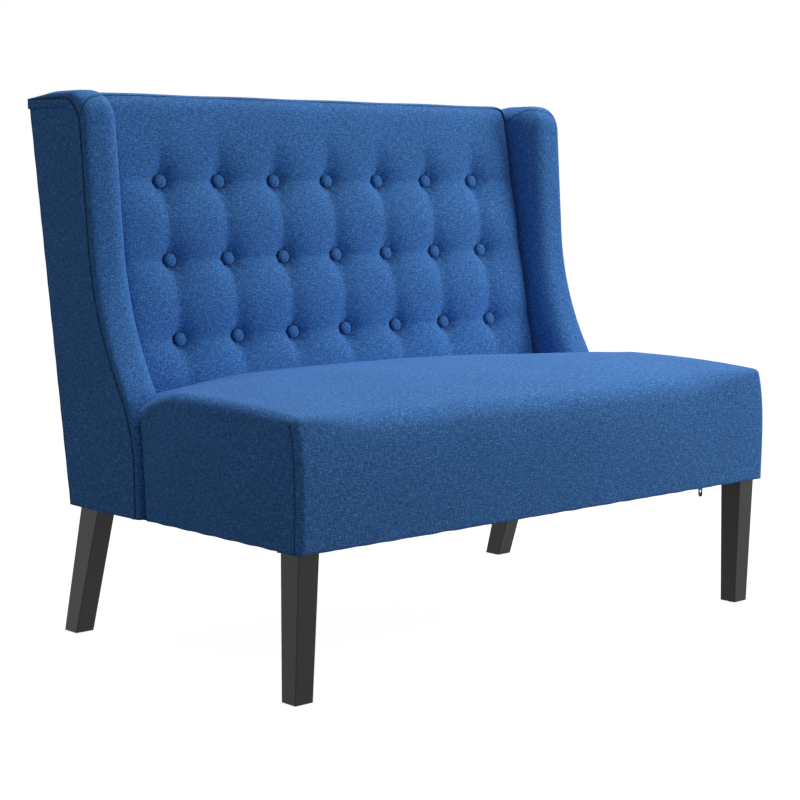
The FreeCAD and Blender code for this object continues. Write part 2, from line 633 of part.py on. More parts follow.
button_radius = g.button_diameter / 2
button_rings = [(0.55, 0.0), (1.0, 0.35), (0.82, 0.75), (0.45, 1.0)]
button_dome = Part.makeLoft([
    button_ring(share * button_radius, level * g.button_thickness)
    for share, level in button_rings], True, True)
facing = Rotation(Vector(0, 0, 1), pad_normal * -1)
buttons = []
twines = []
toggles = []
for point in tuft_points:
    seat = point + pad_normal * button_seat
    button = button_dome.copy()
    button.Placement = Placement(seat, facing)
    buttons.append(button)
    anchor = to_plane(point, hessian_depth)
    twines.append(faceted_bar(seat, anchor, g.twine_diameter, twine_sides))
    toggle = anchor + back_normal * g.clearance
    toggles.append(faceted_bar(toggle, toggle + back_normal * g.toggle_thickness,
                               g.toggle_diameter, toggle_sides))
solid("tuft_buttons", Part.makeCompound(buttons))
solid("tuft_twines", Part.makeCompound(twines))
solid("tuft_toggles", Part.makeCompound(toggles))

# Top strip: padded boxing over the top rail, between the wings
strip_front = tuft_y(g.pad_top_height, edge_draw / 3)
strip_step = tuft_y(g.pad_top_height, g.pad_thickness) + g.clearance
strip_rear_top = g.back_seam_height + 1
strip_low = g.back_frame_height + g.clearance
strip_seam = g.pad_top_height + g.clearance
strip_inner_depth = g.outer_cover_thickness + g.clearance
strip_middle = (strip_front + rear_y(g.back_seam_height)) / 2
strip_corners = [(rear_y(strip_rear_top, g.clearance), strip_rear_top),
                 (rear_y(strip_rear_top, strip_inner_depth), g.back_seam_height + g.clearance),
                 (rear_y(strip_low, strip_inner_depth), strip_low),
                 (strip_step, strip_low),
                 (strip_step, strip_seam),
                 (strip_front, strip_seam)]
strip_edges = [Part.Arc(Vector(0, strip_front, strip_seam),
                        Vector(0, strip_middle, g.pad_top_height + g.top_strip_crown),
                        Vector(0, *strip_corners[0])).toShape()]
for start, end in zip(strip_corners[:-1], strip_corners[1:]):
    strip_edges.append(Part.LineSegment(Vector(0, *start), Vector(0, *end)).toShape())
solid("back_top_strip",
      between_wings(extruded(Part.Wire(strip_edges), -wing_outer_x, wing_outer_x)))

# Outer back: a card lining and one flat fabric panel over the whole rear
outer_corners = []
for z in (g.hem_height, g.back_seam_height):
    outer_corners.append([Vector(x, y, z) for x, y in (
        (-splayed_x(wing_outer_x, z), rear_y(z, g.outer_cover_thickness)),
        (splayed_x(wing_outer_x, z), rear_y(z, g.outer_cover_thickness)),
        (splayed_x(wing_outer_x, z), rear_y(z)), (-splayed_x(wing_outer_x, z), rear_y(z)))])
outer_cover = Part.makeLoft([Part.makePolygon(ring + ring[:1]) for ring in outer_corners],
                            True, True)
solid("outer_back_cover", outer_cover)
solid("outer_back_board", raked_slab(-rail_inner_x, rail_inner_x,
                                     rail_bottom_z, g.back_frame_height,
                                     board_depth, frame_depth))

# Wings: a splayed plywood panel on spacer blocks, foam, and a cover with a rolled front band
foot_y = g.overall_depth / 2 - g.wing_foot_reach
sweep_y = foot_y + (g.wing_high_bend - g.wing_low_bend) * math.tan(math.radians(g.wing_sweep))
panel_outer_x = wing_ply_x + g.wing_ply_thickness
wing_rear_top = g.overall_height - g.wing_rear_drop


def wing_profile(set_back, top_front, top_rear, rear_depth, bottom):
    """The wing from the side, with its front edge set back and its other edges given."""
    high = top_front + set_back
    high_rear = top_rear + set_back
    low = bottom - set_back
    lean = math.tan(math.radians(g.wing_upper_lean))
    high_y = sweep_y + (high - g.wing_high_bend) * lean
    spread = set_back / math.cos(math.radians(g.back_rake))
    rear_high = rear_y(high_rear, rear_depth) + spread
    corners = [(foot_y, low, 0),
               (foot_y, g.wing_low_bend, g.wing_low_radius),
               (sweep_y, g.wing_high_bend, g.wing_high_radius),
               (high_y, high, g.wing_top_round)]
    if top_front > top_rear:
        corners.append((high_y + 0.6 * (rear_high - high_y), high, 3 * g.wing_top_round))
    corners += [(rear_high, high_rear, 0), (rear_y(low, rear_depth) + spread, low, 0)]
    outline = rounded_outline(corners)
    return inset(outline, set_back) if set_back else outline


def rolled_edges(shape, x):
    """The front and top edges of a wing's side face, without its rear and bottom edges."""
    bottom = shape.BoundBox.ZMin
    chosen = []
    for edge in shape.Edges:
        bounds = edge.BoundBox
        flat = bounds.XLength < 0.01 and abs(edge.CenterOfMass.x - x) < 0.01
        low = abs(bounds.ZMax - bottom) < 0.01
        long_rear = bounds.ZLength > 0.8 * shape.BoundBox.ZLength
        if flat and not low and not long_rear:
            chosen.append(edge)
    return chosen


def rolled_wing(profile, x0, x1, inner_roll, outer_roll):
    """The profile carried across the wing, with the front and top edges of its faces rolled."""
    body = extruded(profile, x0, x1)
    for x, roll in ((x0, inner_roll), (x1, outer_roll)):
        if roll:
            body = body.makeFillet(roll, rolled_edges(body, x))
    return body


def over_seat(shape, grow):
    """The shape without its part where the seat lies, inside the wing panel."""
    return shape.cut(box(wing_inner_x - 10, wing_ply_x - grow, front_y, -2 * front_y,
                         0, g.wing_seat_height - grow))


def wing_outside(grow, inner_roll, outer_roll):
    """The whole padded wing, grown evenly."""
    profile = wing_profile(-grow, g.overall_height + grow, wing_rear_top + grow,
                           g.outer_cover_thickness, g.hem_height - 10 * grow)
    body = rolled_wing(profile, wing_inner_x - grow, wing_outer_x + 10 * grow,
                       inner_roll, outer_roll)
    return over_seat(body, grow)


def wing_inside(gap, bottom, rear_depth, x1):
    """The room behind the padding, or what fills it, with its inner edge bevelled."""
    padding = g.wing_nose_padding + gap
    profile = wing_profile(padding, g.overall_height - padding, wing_rear_top - padding,
                           rear_depth, bottom)
    x0 = wing_inner_x + g.wing_cover_thickness + gap
    body = extruded(profile, x0, x1)
    return body.makeChamfer(g.wing_inner_roll - padding, rolled_edges(body, x0))


skin_x = panel_outer_x + g.clearance
seam_top = g.back_seam_height
behind_foam = raked_slab(wing_inner_x - 10, wing_ply_x, g.hem_height - 10,
                         g.back_frame_height + 4, -20, foam_depth + 2 * g.clearance)
side_panel_room = extruded(wing_profile(g.wing_seam_inset, seam_top, seam_top,
                                        -5, g.hem_height - 5),
                           skin_x, wing_outer_x + 5)
wing_cover = wing_outside(0, g.wing_inner_roll, g.wing_outer_roll)
wing_cover = wing_cover.cut(wing_inside(0, g.hem_height - 5, -5, skin_x))
wing_cover = wing_cover.cut(side_panel_room).cut(behind_foam)
wing_cover = wing_cover.cut(raked_slab(
    wing_inner_x - 10, wing_outer_x + 10, g.hem_height - 10, g.overall_height + 10,
    -30, g.outer_cover_thickness + g.clearance))
wing_cover_right = solid("wing_cover_right", splayed(wing_cover))
mirrored(wing_cover_right, "wing_cover_left")

wing_foam = wing_inside(g.clearance, g.hem_height, frame_depth, wing_ply_x - g.clearance)
wing_foam = over_seat(wing_foam, -g.clearance).cut(behind_foam)
mirrored(solid("wing_foam_right", splayed(wing_foam)), "wing_foam_left")

panel_padding = g.wing_nose_padding + g.clearance
wing_panel = splayed(extruded(
    wing_profile(panel_padding, g.overall_height - panel_padding, wing_rear_top - panel_padding,
                 frame_depth, rail_bottom_z), wing_ply_x, panel_outer_x))
block_heights = [rail_top_z + (g.back_frame_height - rail_top_z) * share
                 for share in (0.12, 0.52, 0.92)]
blocks = []
screws = []
panel_far_side = splayed(box(wing_ply_x, wing_outer_x + 50, front_y, -2 * front_y,
                             0, 2 * g.overall_height))
outward = Vector(math.cos(math.radians(flare_angle)), 0, -math.sin(math.radians(flare_angle)))
for height in block_heights:
    low = height - g.block_height / 2
    block = raked_slab(rail_inner_x, wing_outer_x, low, low + g.block_height,
                       frame_depth, webbing_depth).cut(panel_far_side)
    head = Vector(splayed_x(panel_outer_x, height),
                  rear_y(height, frame_depth + g.post_depth / 2), height)
    tip = head - outward * g.screw_length
    screws.append(faceted_bar(tip, head, g.screw_diameter, twine_sides))
    hole = faceted_bar(tip - outward, head + outward, g.screw_diameter + 0.4, twine_sides)
    block = block.cut(hole)
    wing_panel = wing_panel.cut(hole)
    blocks.append(block)
mirrored(solid("wing_panel_right", wing_panel), "wing_panel_left")
solid("wing_spacer_blocks", Part.makeCompound([both(block) for block in blocks]))
solid("wing_panel_screws", Part.makeCompound([both(screw) for screw in screws]))

side_rear_depth = g.outer_cover_thickness + g.clearance
side_cover = extruded(wing_profile(g.wing_seam_inset + g.clearance, seam_top - g.clearance,
                                   seam_top - g.clearance, side_rear_depth, g.hem_height),
                      skin_x, wing_outer_x)
flap_inner_x = wing_outer_x - g.hem_flap_width
flap_rear_y = rear_hem - g.hem_flap_width
leg_bolt_tool = Part.makeCompound([
    bar(Vector(x, y, g.hem_height - 1), Vector(x, y, rail_bottom_z), g.bolt_hole)
    for x, y in leg_bolts])
side_flap = box(flap_inner_x, wing_outer_x - 1, foot_y + g.wing_seam_inset + 1, flap_rear_y,
                g.hem_height, g.hem_height + g.hem_flap_thickness)
side_cover = splayed(side_cover).fuse(side_flap.cut(leg_bolt_tool))
mirrored(solid("wing_side_cover_right", side_cover), "wing_side_cover_left")

welt_outside = wing_profile(g.wing_seam_inset, seam_top, seam_top, side_rear_depth, g.hem_height)
welt_inside = wing_profile(g.wing_seam_inset + g.welt_width, seam_top - g.welt_width,
                           seam_top - g.welt_width, -5, g.hem_height - 5)
welt = extruded(welt_outside, wing_outer_x, wing_outer_x + g.welt_thickness)
welt = welt.cut(extruded(welt_inside, wing_outer_x - 1, wing_outer_x + 5))
mirrored(solid("wing_welt_right", splayed(welt)), "wing_welt_left")

# Seat: foam on the webbing, one main cover over front and top, and a boxed panel at each side
seat_side_x = g.overall_width / 2 - g.seat_side_setback
cover_end_x = seat_side_x - g.side_panel_thickness
seat_rear_y = rear_y(rail_top_z, foam_depth) - g.clearance
seat_stations = [share * cover_end_x for share in (-1, -0.75, -0.4, 0, 0.4, 0.75, 1)]


def seat_section(x, inside=0.0):
    """The seat cut across at x: a bulging front, a rolled front edge and a crowned top."""
    swell = (g.seat_crown_height - g.seat_side_crown_height) * (1 - (x / cover_end_x) ** 2)
    crown = g.seat_side_crown_height + swell - inside
    edge_z = g.seat_edge_height - inside
    low = g.hem_height - 5 if inside else g.hem_height
    face_y = front_y + inside
    roll = g.seat_front_round - inside / 2
    rear = seat_rear_y - inside
    foot = Vector(x, face_y + g.seat_front_draw, low)
    front = Part.Arc(foot, Vector(x, face_y, (low + edge_z) / 2),
                     Vector(x, face_y + g.seat_front_lean, edge_z - 0.76 * roll))
    lean = front.tangent(front.LastParameter)[0]
    corner = front.EndPoint
    across = [Vector(0, -lean.z, lean.y)]
    rise = math.atan2(2 * (crown - edge_z), g.seat_crown_setback - g.seat_front_lean - roll)
    across.append(Vector(0, -math.sin(rise), math.cos(rise)))
    centre = corner - across[0] * roll
    halfway = (across[0] + across[1]).normalize()
    edge = centre + across[1] * roll
    rounding = Part.Arc(corner, centre + halfway * roll, edge)
    top = Part.Arc(edge, Vector(x, front_y + g.seat_crown_setback, crown),
                   Vector(x, rear, edge_z))
    loop = [Vector(x, rear, edge_z), Vector(x, rear, low), foot]
    edges = [front.toShape(), rounding.toShape(), top.toShape()]
    for start, end in zip(loop[:-1], loop[1:]):
        edges.append(Part.LineSegment(start, end).toShape())
    return Part.Wire(edges)


def seat_body(inside, reach):
    """The seat between its side panels as one smooth body, or the room inside its cover."""
    whole = Part.makeLoft([seat_section(x, inside) for x in seat_stations], True, True)
    return whole.common(box(-reach, reach, 2 * front_y, -front_y, 0, g.overall_height))


wing_room = splayed(wing_outside(g.clearance, 0, 0))
wings_room = Part.makeCompound([wing_room, mirror(wing_room)])
seat_low = cross_low + g.strap_thickness
seat_rear_room = box(-wing_outer_x, wing_outer_x, rear_inner_y - g.rail_thickness, -front_y,
                     g.hem_height - 10, seat_low + g.clearance)
front_flap = box(-cover_end_x, cover_end_x, front_y + g.seat_front_draw + 5,
                 front_y + g.hem_flap_width, g.hem_height, g.hem_height + g.hem_flap_thickness)
seat_cover = seat_body(0, cover_end_x).cut(seat_body(g.seat_cover_thickness, cover_end_x))
seat_cover = seat_cover.cut(seat_rear_room).fuse(front_flap)
solid("seat_cover", seat_cover.cut(wings_room).cut(both(leg_bolt_tool)))

seat_foam = seat_body(g.seat_cover_thickness + g.clearance, cover_end_x - g.clearance)
seat_foam = seat_foam.cut(box(-wing_outer_x, wing_outer_x, 2 * front_y, -front_y, 0, seat_low))
notch_front = foot_y - g.seat_notch_reach
pared = Part.Face(Part.makePolygon([
    Vector(cover_end_x - g.seat_notch_width, notch_front, g.seat_edge_height),
    Vector(cover_end_x, notch_front, g.seat_edge_height - g.seat_notch_depth),
    Vector(cover_end_x, notch_front, g.overall_height),
    Vector(cover_end_x - g.seat_notch_width, notch_front, g.overall_height),
    Vector(cover_end_x - g.seat_notch_width, notch_front, g.seat_edge_height)]))
notch = pared.extrude(Vector(0, g.overall_depth, 0))
solid("seat_foam", seat_foam.cut(wings_room).cut(both(notch)))

side_outline = Part.Face(seat_section(cover_end_x))
side_outline.translate(Vector(g.clearance, 0, 0))
side_panel = side_outline.extrude(Vector(g.side_panel_thickness - g.clearance, 0, 0))
side_edges = []
for edge in side_panel.Edges:
    bounds = edge.BoundBox
    if abs(bounds.XMin - seat_side_x) < 0.01 and bounds.YMin < foot_y - 10:
        side_edges.append(edge)
side_panel = side_panel.makeFillet(g.side_panel_round, side_edges)
side_panel = side_panel.cut(box(0, wing_outer_x, foot_y + 2 * g.wing_thickness, -front_y,
                                0, g.overall_height))
side_panel = side_panel.fuse(box(seat_side_x - g.hem_flap_width, cover_end_x + 1,
                                 front_y + g.hem_flap_width + g.clearance, foot_y - 1,
                                 g.hem_height, g.hem_height + g.hem_flap_thickness))
side_panel = side_panel.cut(wing_room).cut(leg_bolt_tool)
mirrored(solid("seat_side_panel_right", side_panel), "seat_side_panel_left")

# Dust cover: black cloth under the seat, cut out round the legs, with a slot for its zip
cloth = board(
    "dust_cover_cloth",
    ("overall_width - 2 * wing_flare - 2 * dust_cover_inset",
     rear_face + " + overall_depth / 2 - 2 * dust_cover_inset", "dust_cover_thickness"),
    ("wing_flare + dust_cover_inset - overall_width / 2",
     "dust_cover_inset - overall_depth / 2", "hem_height - dust_cover_thickness"))
openings = []
leg_tops = ((front_stance, "front_leg_top_width", front_face, "front_leg_top_depth"),
            (rear_stance, "rear_leg_width", rear_face + " - rear_leg_top_depth",
             "rear_leg_top_depth"))
for index, (stance, width, low_y, depth) in enumerate(leg_tops):
    for side, low_x in (("right", stance + " - " + width), ("left", "-" + stance)):
        openings.append(board(
            "dust_cover_cut_%d_%s" % (index, side),
            (width + " + 2 * leg_edge_round", depth + " + 2 * leg_edge_round",
             "3 * dust_cover_thickness"),
            (low_x + " - leg_edge_round", low_y + " - leg_edge_round",
             "hem_height - 2 * dust_cover_thickness")))
zip_middle = "(zip_setback - overall_depth / 2)"
zip_end = "(overall_width / 2 - zip_end_inset)"
openings.append(board(
    "dust_cover_slot",
    ("2 * " + zip_end, "zip_slot", "3 * dust_cover_thickness"),
    ("-" + zip_end, zip_middle + " - zip_slot / 2", "hem_height - 2 * dust_cover_thickness")))
drilled(cloth, openings, "dust_cover")

# Zip: two woven tapes, two coils with a narrow gap between them, a slider and its hanging pull
row_low = "(hem_height - dust_cover_thickness - (zip_tape_thickness + zip_row_height) / 2)"
row_outer = "(zip_row_gap / 2 + zip_row_width)"
tapes = []
coils = []
for name, tape_y, coil_y in (
        ("front", zip_middle + " - " + row_outer + " - zip_tape_width",
         zip_middle + " - " + row_outer),
        ("rear", zip_middle + " + " + row_outer, zip_middle + " + zip_row_gap / 2")):
    tapes.append(board(
        "zip_tape_" + name,
        ("2 * " + zip_end + " + zip_tape_width", "zip_tape_width", "zip_tape_thickness"),
        ("-" + zip_end + " - zip_tape_width / 2", tape_y,
         "hem_height - dust_cover_thickness - zip_tape_thickness")))
    coils.append(board("zip_coil_" + name, ("2 * " + zip_end, "zip_row_width", "zip_row_height"),
                       ("-" + zip_end, coil_y, row_low)))
for label, strips in (("zip_tape", tapes), ("zip_coils", coils)):
    pair = doc.addObject("Part::Compound", label)
    pair.Links = strips
    keep(pair, label)


def joined(features, name):
    """Several overlapping bodies made one."""
    whole = doc.addObject("Part::MultiFuse", name)
    whole.Shapes = features
    return whole


plate_low = row_low + " - clearance - slider_plate"
pin_z = "(" + plate_low + " - pull_eye_radius - clearance)"
slider_rest = "(overall_width / 2 - slider_inset)"
plate_size = ("slider_length", "slider_width", "slider_plate")
plate_x = slider_rest + " - slider_length / 2"
plate_y = zip_middle + " - slider_width / 2"
lug_y = zip_middle + " + slider_width / 2 - slider_plate"
lug_size = ("2 * pull_eye_radius", "slider_plate", "2 * pull_eye_radius + clearance")
lug_low = plate_low + " - 2 * pull_eye_radius"
along_y = Rotation(Vector(1, 0, 0), -90)
keep(joined([
    board("slider_lower_plate", plate_size, (plate_x, plate_y, plate_low)),
    board("slider_upper_plate", plate_size,
          (plate_x, plate_y, row_low + " + zip_row_height + clearance")),
    board("slider_web", ("slider_length * 0.6", "zip_row_gap - 0.4",
                         "zip_row_height + 2 * clearance + slider_plate"),
          (slider_rest + " - slider_length * 0.3", zip_middle + " - zip_row_gap / 2 + 0.2",
           plate_low + " + slider_plate / 2")),
    board("slider_lug_rear", lug_size, (slider_rest + " - pull_eye_radius", lug_y, lug_low)),
    board("slider_lug_front", lug_size, (slider_rest + " - pull_eye_radius", plate_y, lug_low)),
    rod("slider_pin", "pull_pin_diameter", "slider_width",
        (slider_rest, plate_y, pin_z), along_y)], "zip_slider"), "zip_slider")

pull_body = doc.addObject("PartDesign::Body", "pull_plate")
pull_sketch = pull_body.newObject("Sketcher::SketchObject", "pull_outline")
side_plane = next(plane for plane in pull_body.Origin.OriginFeatures if plane.Role == "YZ_Plane")
pull_sketch.AttachmentSupport = [(side_plane, "")]
pull_sketch.MapMode = "FlatFace"
half_pull = g.pull_width / 2
neck = 0.42 * half_pull
outline = [Vector(-half_pull, -g.pull_length + half_pull, 0), Vector(-half_pull, -1.5 * half_pull, 0),
           Vector(-neck, -0.9 * half_pull, 0), Vector(-neck, 0, 0), Vector(neck, 0, 0),
           Vector(neck, -0.9 * half_pull, 0), Vector(half_pull, -1.5 * half_pull, 0),
           Vector(half_pull, -g.pull_length + half_pull, 0)]
for start, end in zip(outline[:-1], outline[1:]):
    pull_sketch.addGeometry(Part.LineSegment(start, end), False)
pull_sketch.addGeometry(Part.Arc(outline[-1], Vector(0, -g.pull_length, 0), outline[0]), False)
diamond_y = -0.6 * g.pull_length
diamond = [Vector(0, diamond_y - half_pull, 0), Vector(0.5 * half_pull, diamond_y, 0),
           Vector(0, diamond_y + half_pull, 0), Vector(-0.5 * half_pull, diamond_y, 0)]
for index in range(4):
    pull_sketch.addGeometry(Part.LineSegment(diamond[index], diamond[(index + 1) % 4]), False)
pull_pad = pull_body.newObject("PartDesign::Pad", "pull_plate_pad")
pull_pad.Profile = pull_sketch
pull_pad.Midplane = True
pull_pad.setExpression("Length", cells("pull_thickness"))
pull_body.Tip = pull_pad
for axis, formula in zip("xyz", (slider_rest, zip_middle, pin_z)):
    pull_body.setExpression(".Placement.Base." + axis, cells(formula))
eye_length = "(slider_width - 2 * slider_plate - 2 * clearance)"
eye_y = zip_middle + " - slider_width / 2 + slider_plate + clearance"
pull_eye = rod("pull_eye", "2 * pull_eye_radius", eye_length,
               (slider_rest, eye_y, pin_z), along_y)
pull_bore = rod("pull_bore", "pull_pin_diameter + 0.1", "slider_width",
                (slider_rest, plate_y, pin_z), along_y)
drilled(joined([pull_body, pull_eye], "pull_with_eye"), [pull_bore], "zip_pull")

# Every sub-part is checked and written as its own file
doc.recompute()
for feature in doc.Objects:
    if "Invalid" in feature.State or "Error" in feature.State:
        raise RuntimeError(feature.Name + " didn't recompute")
os.makedirs("parts", exist_ok=True)
for feature in pieces:
    if feature.Shape.isNull() or not feature.Shape.Solids or not feature.Shape.isValid():
        raise RuntimeError(feature.Label + " has no sound shape")
    feature.Shape.exportStep("parts/" + feature.Label + ".step")
print(len(pieces), "sub-parts written")
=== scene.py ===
"""High back settee: the looks of each piece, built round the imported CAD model."""
import json
import math

import bmesh
import bpy
import numpy as np
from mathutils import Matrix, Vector


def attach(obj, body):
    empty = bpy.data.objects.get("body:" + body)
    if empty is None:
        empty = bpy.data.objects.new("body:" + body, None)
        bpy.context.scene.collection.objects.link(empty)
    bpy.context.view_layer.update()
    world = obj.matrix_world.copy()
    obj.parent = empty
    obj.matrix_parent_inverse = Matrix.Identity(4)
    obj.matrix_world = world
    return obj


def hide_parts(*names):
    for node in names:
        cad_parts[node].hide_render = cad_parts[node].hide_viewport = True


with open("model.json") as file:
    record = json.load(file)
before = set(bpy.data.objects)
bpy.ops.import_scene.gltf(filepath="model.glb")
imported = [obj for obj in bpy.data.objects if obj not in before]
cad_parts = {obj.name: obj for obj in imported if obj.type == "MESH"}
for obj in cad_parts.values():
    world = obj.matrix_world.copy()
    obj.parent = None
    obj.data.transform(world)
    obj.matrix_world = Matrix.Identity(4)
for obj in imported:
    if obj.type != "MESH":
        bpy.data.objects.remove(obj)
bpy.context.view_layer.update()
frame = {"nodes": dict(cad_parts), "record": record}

nodes = frame["nodes"]

# Camera and studio
# The camera stands left of the settee's front, at the height of a seated person's head, and
# looks a little down. A white studio: a large soft lamp overhead, a weaker one at the right, and
# an even pale room. The floor's glow is for the eye only, so that it lights nothing from below.
MM = 0.001
ROOM_LIGHT, WHITE_PAPER = 0.23, 1.0       # the world's strength for light, and as the eye sees it
FLOOR_DULL, FLOOR_LIT, FLOOR_GLOW = 0.22, 0.2, 0.97
FLOOR_REACH = 14.0
LAMP_TARGET = (0, 0, 0.55)
camera = bpy.data.objects.new("camera", bpy.data.cameras.new("camera"))
bpy.context.scene.collection.objects.link(camera)
yaw = math.radians(-42.01)
pitch = math.radians(6.628)
camera.location = (-2.3591, -2.5759, 0.8157)
camera.rotation_euler = Vector((-math.sin(yaw) * math.cos(pitch), math.cos(yaw) * math.cos(pitch),
                                -math.sin(pitch))).to_track_quat("-Z", "Y").to_euler()
camera.data.sensor_width = 36
camera.data.lens = 84.908
bpy.context.scene.camera = camera
bpy.context.scene.view_settings.view_transform = "Standard"


def linear(code):
    """An sRGB hex colour as linear red, green, blue and 1."""
    levels = [int(code[index:index + 2], 16) / 255 for index in (1, 3, 5)]
    return [level / 12.92 if level <= 0.04045 else ((level + 0.055) / 1.055) ** 2.4
            for level in levels] + [1]


def add(tree, kind, links=(), **settings):
    """A shader node with its settings, and each of its sockets set or linked from (socket, value)."""
    node = tree.nodes.new("ShaderNode" + kind)
    for name, value in settings.items():
        setattr(node, name, value)
    for socket, value in links:
        if isinstance(value, bpy.types.NodeSocket):
            tree.links.new(value, node.inputs[socket])
        else:
            node.inputs[socket].default_value = value
    return node


def seen_by_eye(tree):
    """1 for rays that the eye follows straight, in a gloss or through glass, and 0 for light."""
    path = add(tree, "LightPath")
    glossy = add(tree, "Math", [(0, path.outputs["Is Camera Ray"]),
                                (1, path.outputs["Is Glossy Ray"])], operation="ADD")
    return add(tree, "Math", [(0, glossy.outputs[0]),
                              (1, path.outputs["Is Transmission Ray"])],
               operation="ADD", use_clamp=True).outputs[0]


world = bpy.data.worlds.new("pale_room")
world.use_nodes = True
world.node_tree.nodes.clear()
room = add(world.node_tree, "Background", [("Color", (1, 1, 1, 1)), ("Strength", ROOM_LIGHT)])
paper = add(world.node_tree, "Background", [("Color", (1, 1, 1, 1)), ("Strength", WHITE_PAPER)])
choice = add(world.node_tree, "MixShader", [(0, seen_by_eye(world.node_tree)),
                                            (1, room.outputs[0]), (2, paper.outputs[0])])
add(world.node_tree, "OutputWorld", [("Surface", choice.outputs[0])])
bpy.context.scene.world = world

floor_paper = bpy.data.materials.new("white_studio_floor")
floor_paper.use_nodes = True
tree = floor_paper.node_tree
tree.nodes.clear()
dull = add(tree, "BsdfDiffuse", [("Color", (FLOOR_DULL, FLOOR_DULL, FLOOR_DULL, 1))])
lit = add(tree, "BsdfDiffuse", [("Color", (FLOOR_LIT, FLOOR_LIT, FLOOR_LIT, 1))])
glow = add(tree, "Emission", [("Color", (1, 1, 1, 1)), ("Strength", FLOOR_GLOW)])
white = add(tree, "AddShader", [(0, glow.outputs[0]), (1, lit.outputs[0])])
choice = add(tree, "MixShader", [(0, seen_by_eye(tree)), (1, dull.outputs[0]),
                                 (2, white.outputs[0])])
add(tree, "OutputMaterial", [("Surface", choice.outputs[0])])

floor_mesh = bpy.data.meshes.new("studio_floor")
floor_mesh.from_pydata([(-FLOOR_REACH, -FLOOR_REACH, 0), (FLOOR_REACH, -FLOOR_REACH, 0),
                        (FLOOR_REACH, FLOOR_REACH, 0), (-FLOOR_REACH, FLOOR_REACH, 0)],
                       [], [(0, 1, 2, 3)])
floor_mesh.materials.append(floor_paper)
floor = bpy.data.objects.new("studio_floor", floor_mesh)
bpy.context.scene.collection.objects.link(floor)


def soft_lamp(name, place, size, power):
    """A square soft box at a place, turned to the middle of the settee."""
    lamp = bpy.data.lights.new(name, "AREA")
    lamp.shape = "SQUARE"
    lamp.size = size
    lamp.energy = power
    holder = bpy.data.objects.new(name, lamp)
    holder.location = place
    aim = Vector(LAMP_TARGET) - Vector(place)
    holder.rotation_euler = aim.to_track_quat("-Z", "Y").to_euler()
    bpy.context.scene.collection.objects.link(holder)


soft_lamp("key_lamp", (1.0, 0.45, 4.2), 2.0, 95)
soft_lamp("right_lamp", (2.8, -1.6, 1.2), 1.4, 56)

# Legs and glides
# Four tapered legs of black-stained rubberwood under a satin lacquer, on nylon glides. The grain
# runs down the leg and shows only as faint streaks.


def finish(name, roughness, specular, metallic=0.0, sheen=0.0):
    """A named material with a Principled shader whose even values are set on its own sockets."""
    material = bpy.data.materials.new(name)
    material.use_nodes = True
    tree = material.node_tree
    tree.nodes.clear()
    shader = add(tree, "BsdfPrincipled", [("Metallic", metallic), ("Roughness", roughness),
                                          ("IOR", 1.5), ("Specular IOR Level", specular),
                                          ("Sheen Weight", sheen)])
    add(tree, "OutputMaterial", [("Surface", shader.outputs[0])])
    return material, tree, shader


def streaked(name, dark, light, along, across_mm, along_mm, relief, roughness, metallic=0.0,
             specular=0.5):
    """A finish whose colour and height vary in streaks, across_mm wide and along_mm long."""
    material, tree, shader = finish(name, roughness, specular, metallic=metallic)
    place = add(tree, "TexCoord").outputs["Object"]
    scales = [1 / (MM * across_mm)] * 3
    scales["XYZ".index(along)] = 1 / (MM * along_mm)
    spread = add(tree, "Mapping", [("Vector", place), ("Scale", scales)])
    grain = add(tree, "TexNoise", [("Vector", spread.outputs[0]), ("Scale", 1.0), ("Detail", 4.0)])
    ramp = add(tree, "ValToRGB", [(0, grain.outputs["Fac"])])
    ramp.color_ramp.elements[0].position = 0.3
    ramp.color_ramp.elements[0].color = linear(dark)
    ramp.color_ramp.elements[1].position = 0.72
    ramp.color_ramp.elements[1].color = linear(light)
    height = add(tree, "Bump", [("Height", grain.outputs["Fac"]), ("Strength", 0.5),
                                ("Distance", relief * MM)])
    tree.links.new(ramp.outputs[0], shader.inputs["Base Color"])
    tree.links.new(height.outputs[0], shader.inputs["Normal"])
    return material


finishes = {
    "black_leg_wood": streaked("black_lacquered_rubberwood", "#141213", "#1f1d1e", "Z", 1.4, 60, 0.05,
                               0.38, specular=0.34),
    "pine_frame": streaked("sawn_pine", "#b98f5a", "#dcbb86", "X", 5, 120, 0.2, 0.7),
    "plywood": streaked("birch_plywood", "#b08a5c", "#cfae80", "Z", 4, 90, 0.1, 0.65),
    "foam": streaked("cream_upholstery_foam", "#cfc59f", "#e4dcc0", "X", 1.5, 1.5, 0.3, 0.95),
    "elastic_webbing": streaked("black_elastic_webbing", "#0d0d0d", "#242424", "X", 1, 6, 0.2,
                                0.85),
    "hessian": streaked("jute_hessian", "#7a6038", "#a98b58", "X", 1.5, 10, 0.4, 0.95),
    "card": streaked("grey_brown_card", "#6b5a45", "#857258", "X", 6, 30, 0.05, 0.85),
    "black_lining_cloth": streaked("black_spunbond_cloth", "#0c0c0e", "#1d1d20", "Y", 0.8, 2.4, 0.1,
                                   0.9),
    "black_nylon": streaked("black_moulded_nylon", "#101011", "#19191a", "X", 1, 1, 0.03, 0.5),
    "steel": streaked("zinc_plated_steel", "#8f9196", "#b9bbbf", "X", 2, 2, 0.02, 0.32,
                      metallic=1.0),
    "black_metal": streaked("black_japanned_brass", "#1a1a1c", "#2a2a2c", "Z", 1, 3, 0.02, 0.35),
    "waxed_twine": streaked("waxed_linen_twine", "#8f8465", "#b3a888", "Y", 0.5, 2, 0.2, 0.7),
}
slot_of = {part["node"]: part["material_slot"] for part in frame["record"]["subparts"]}
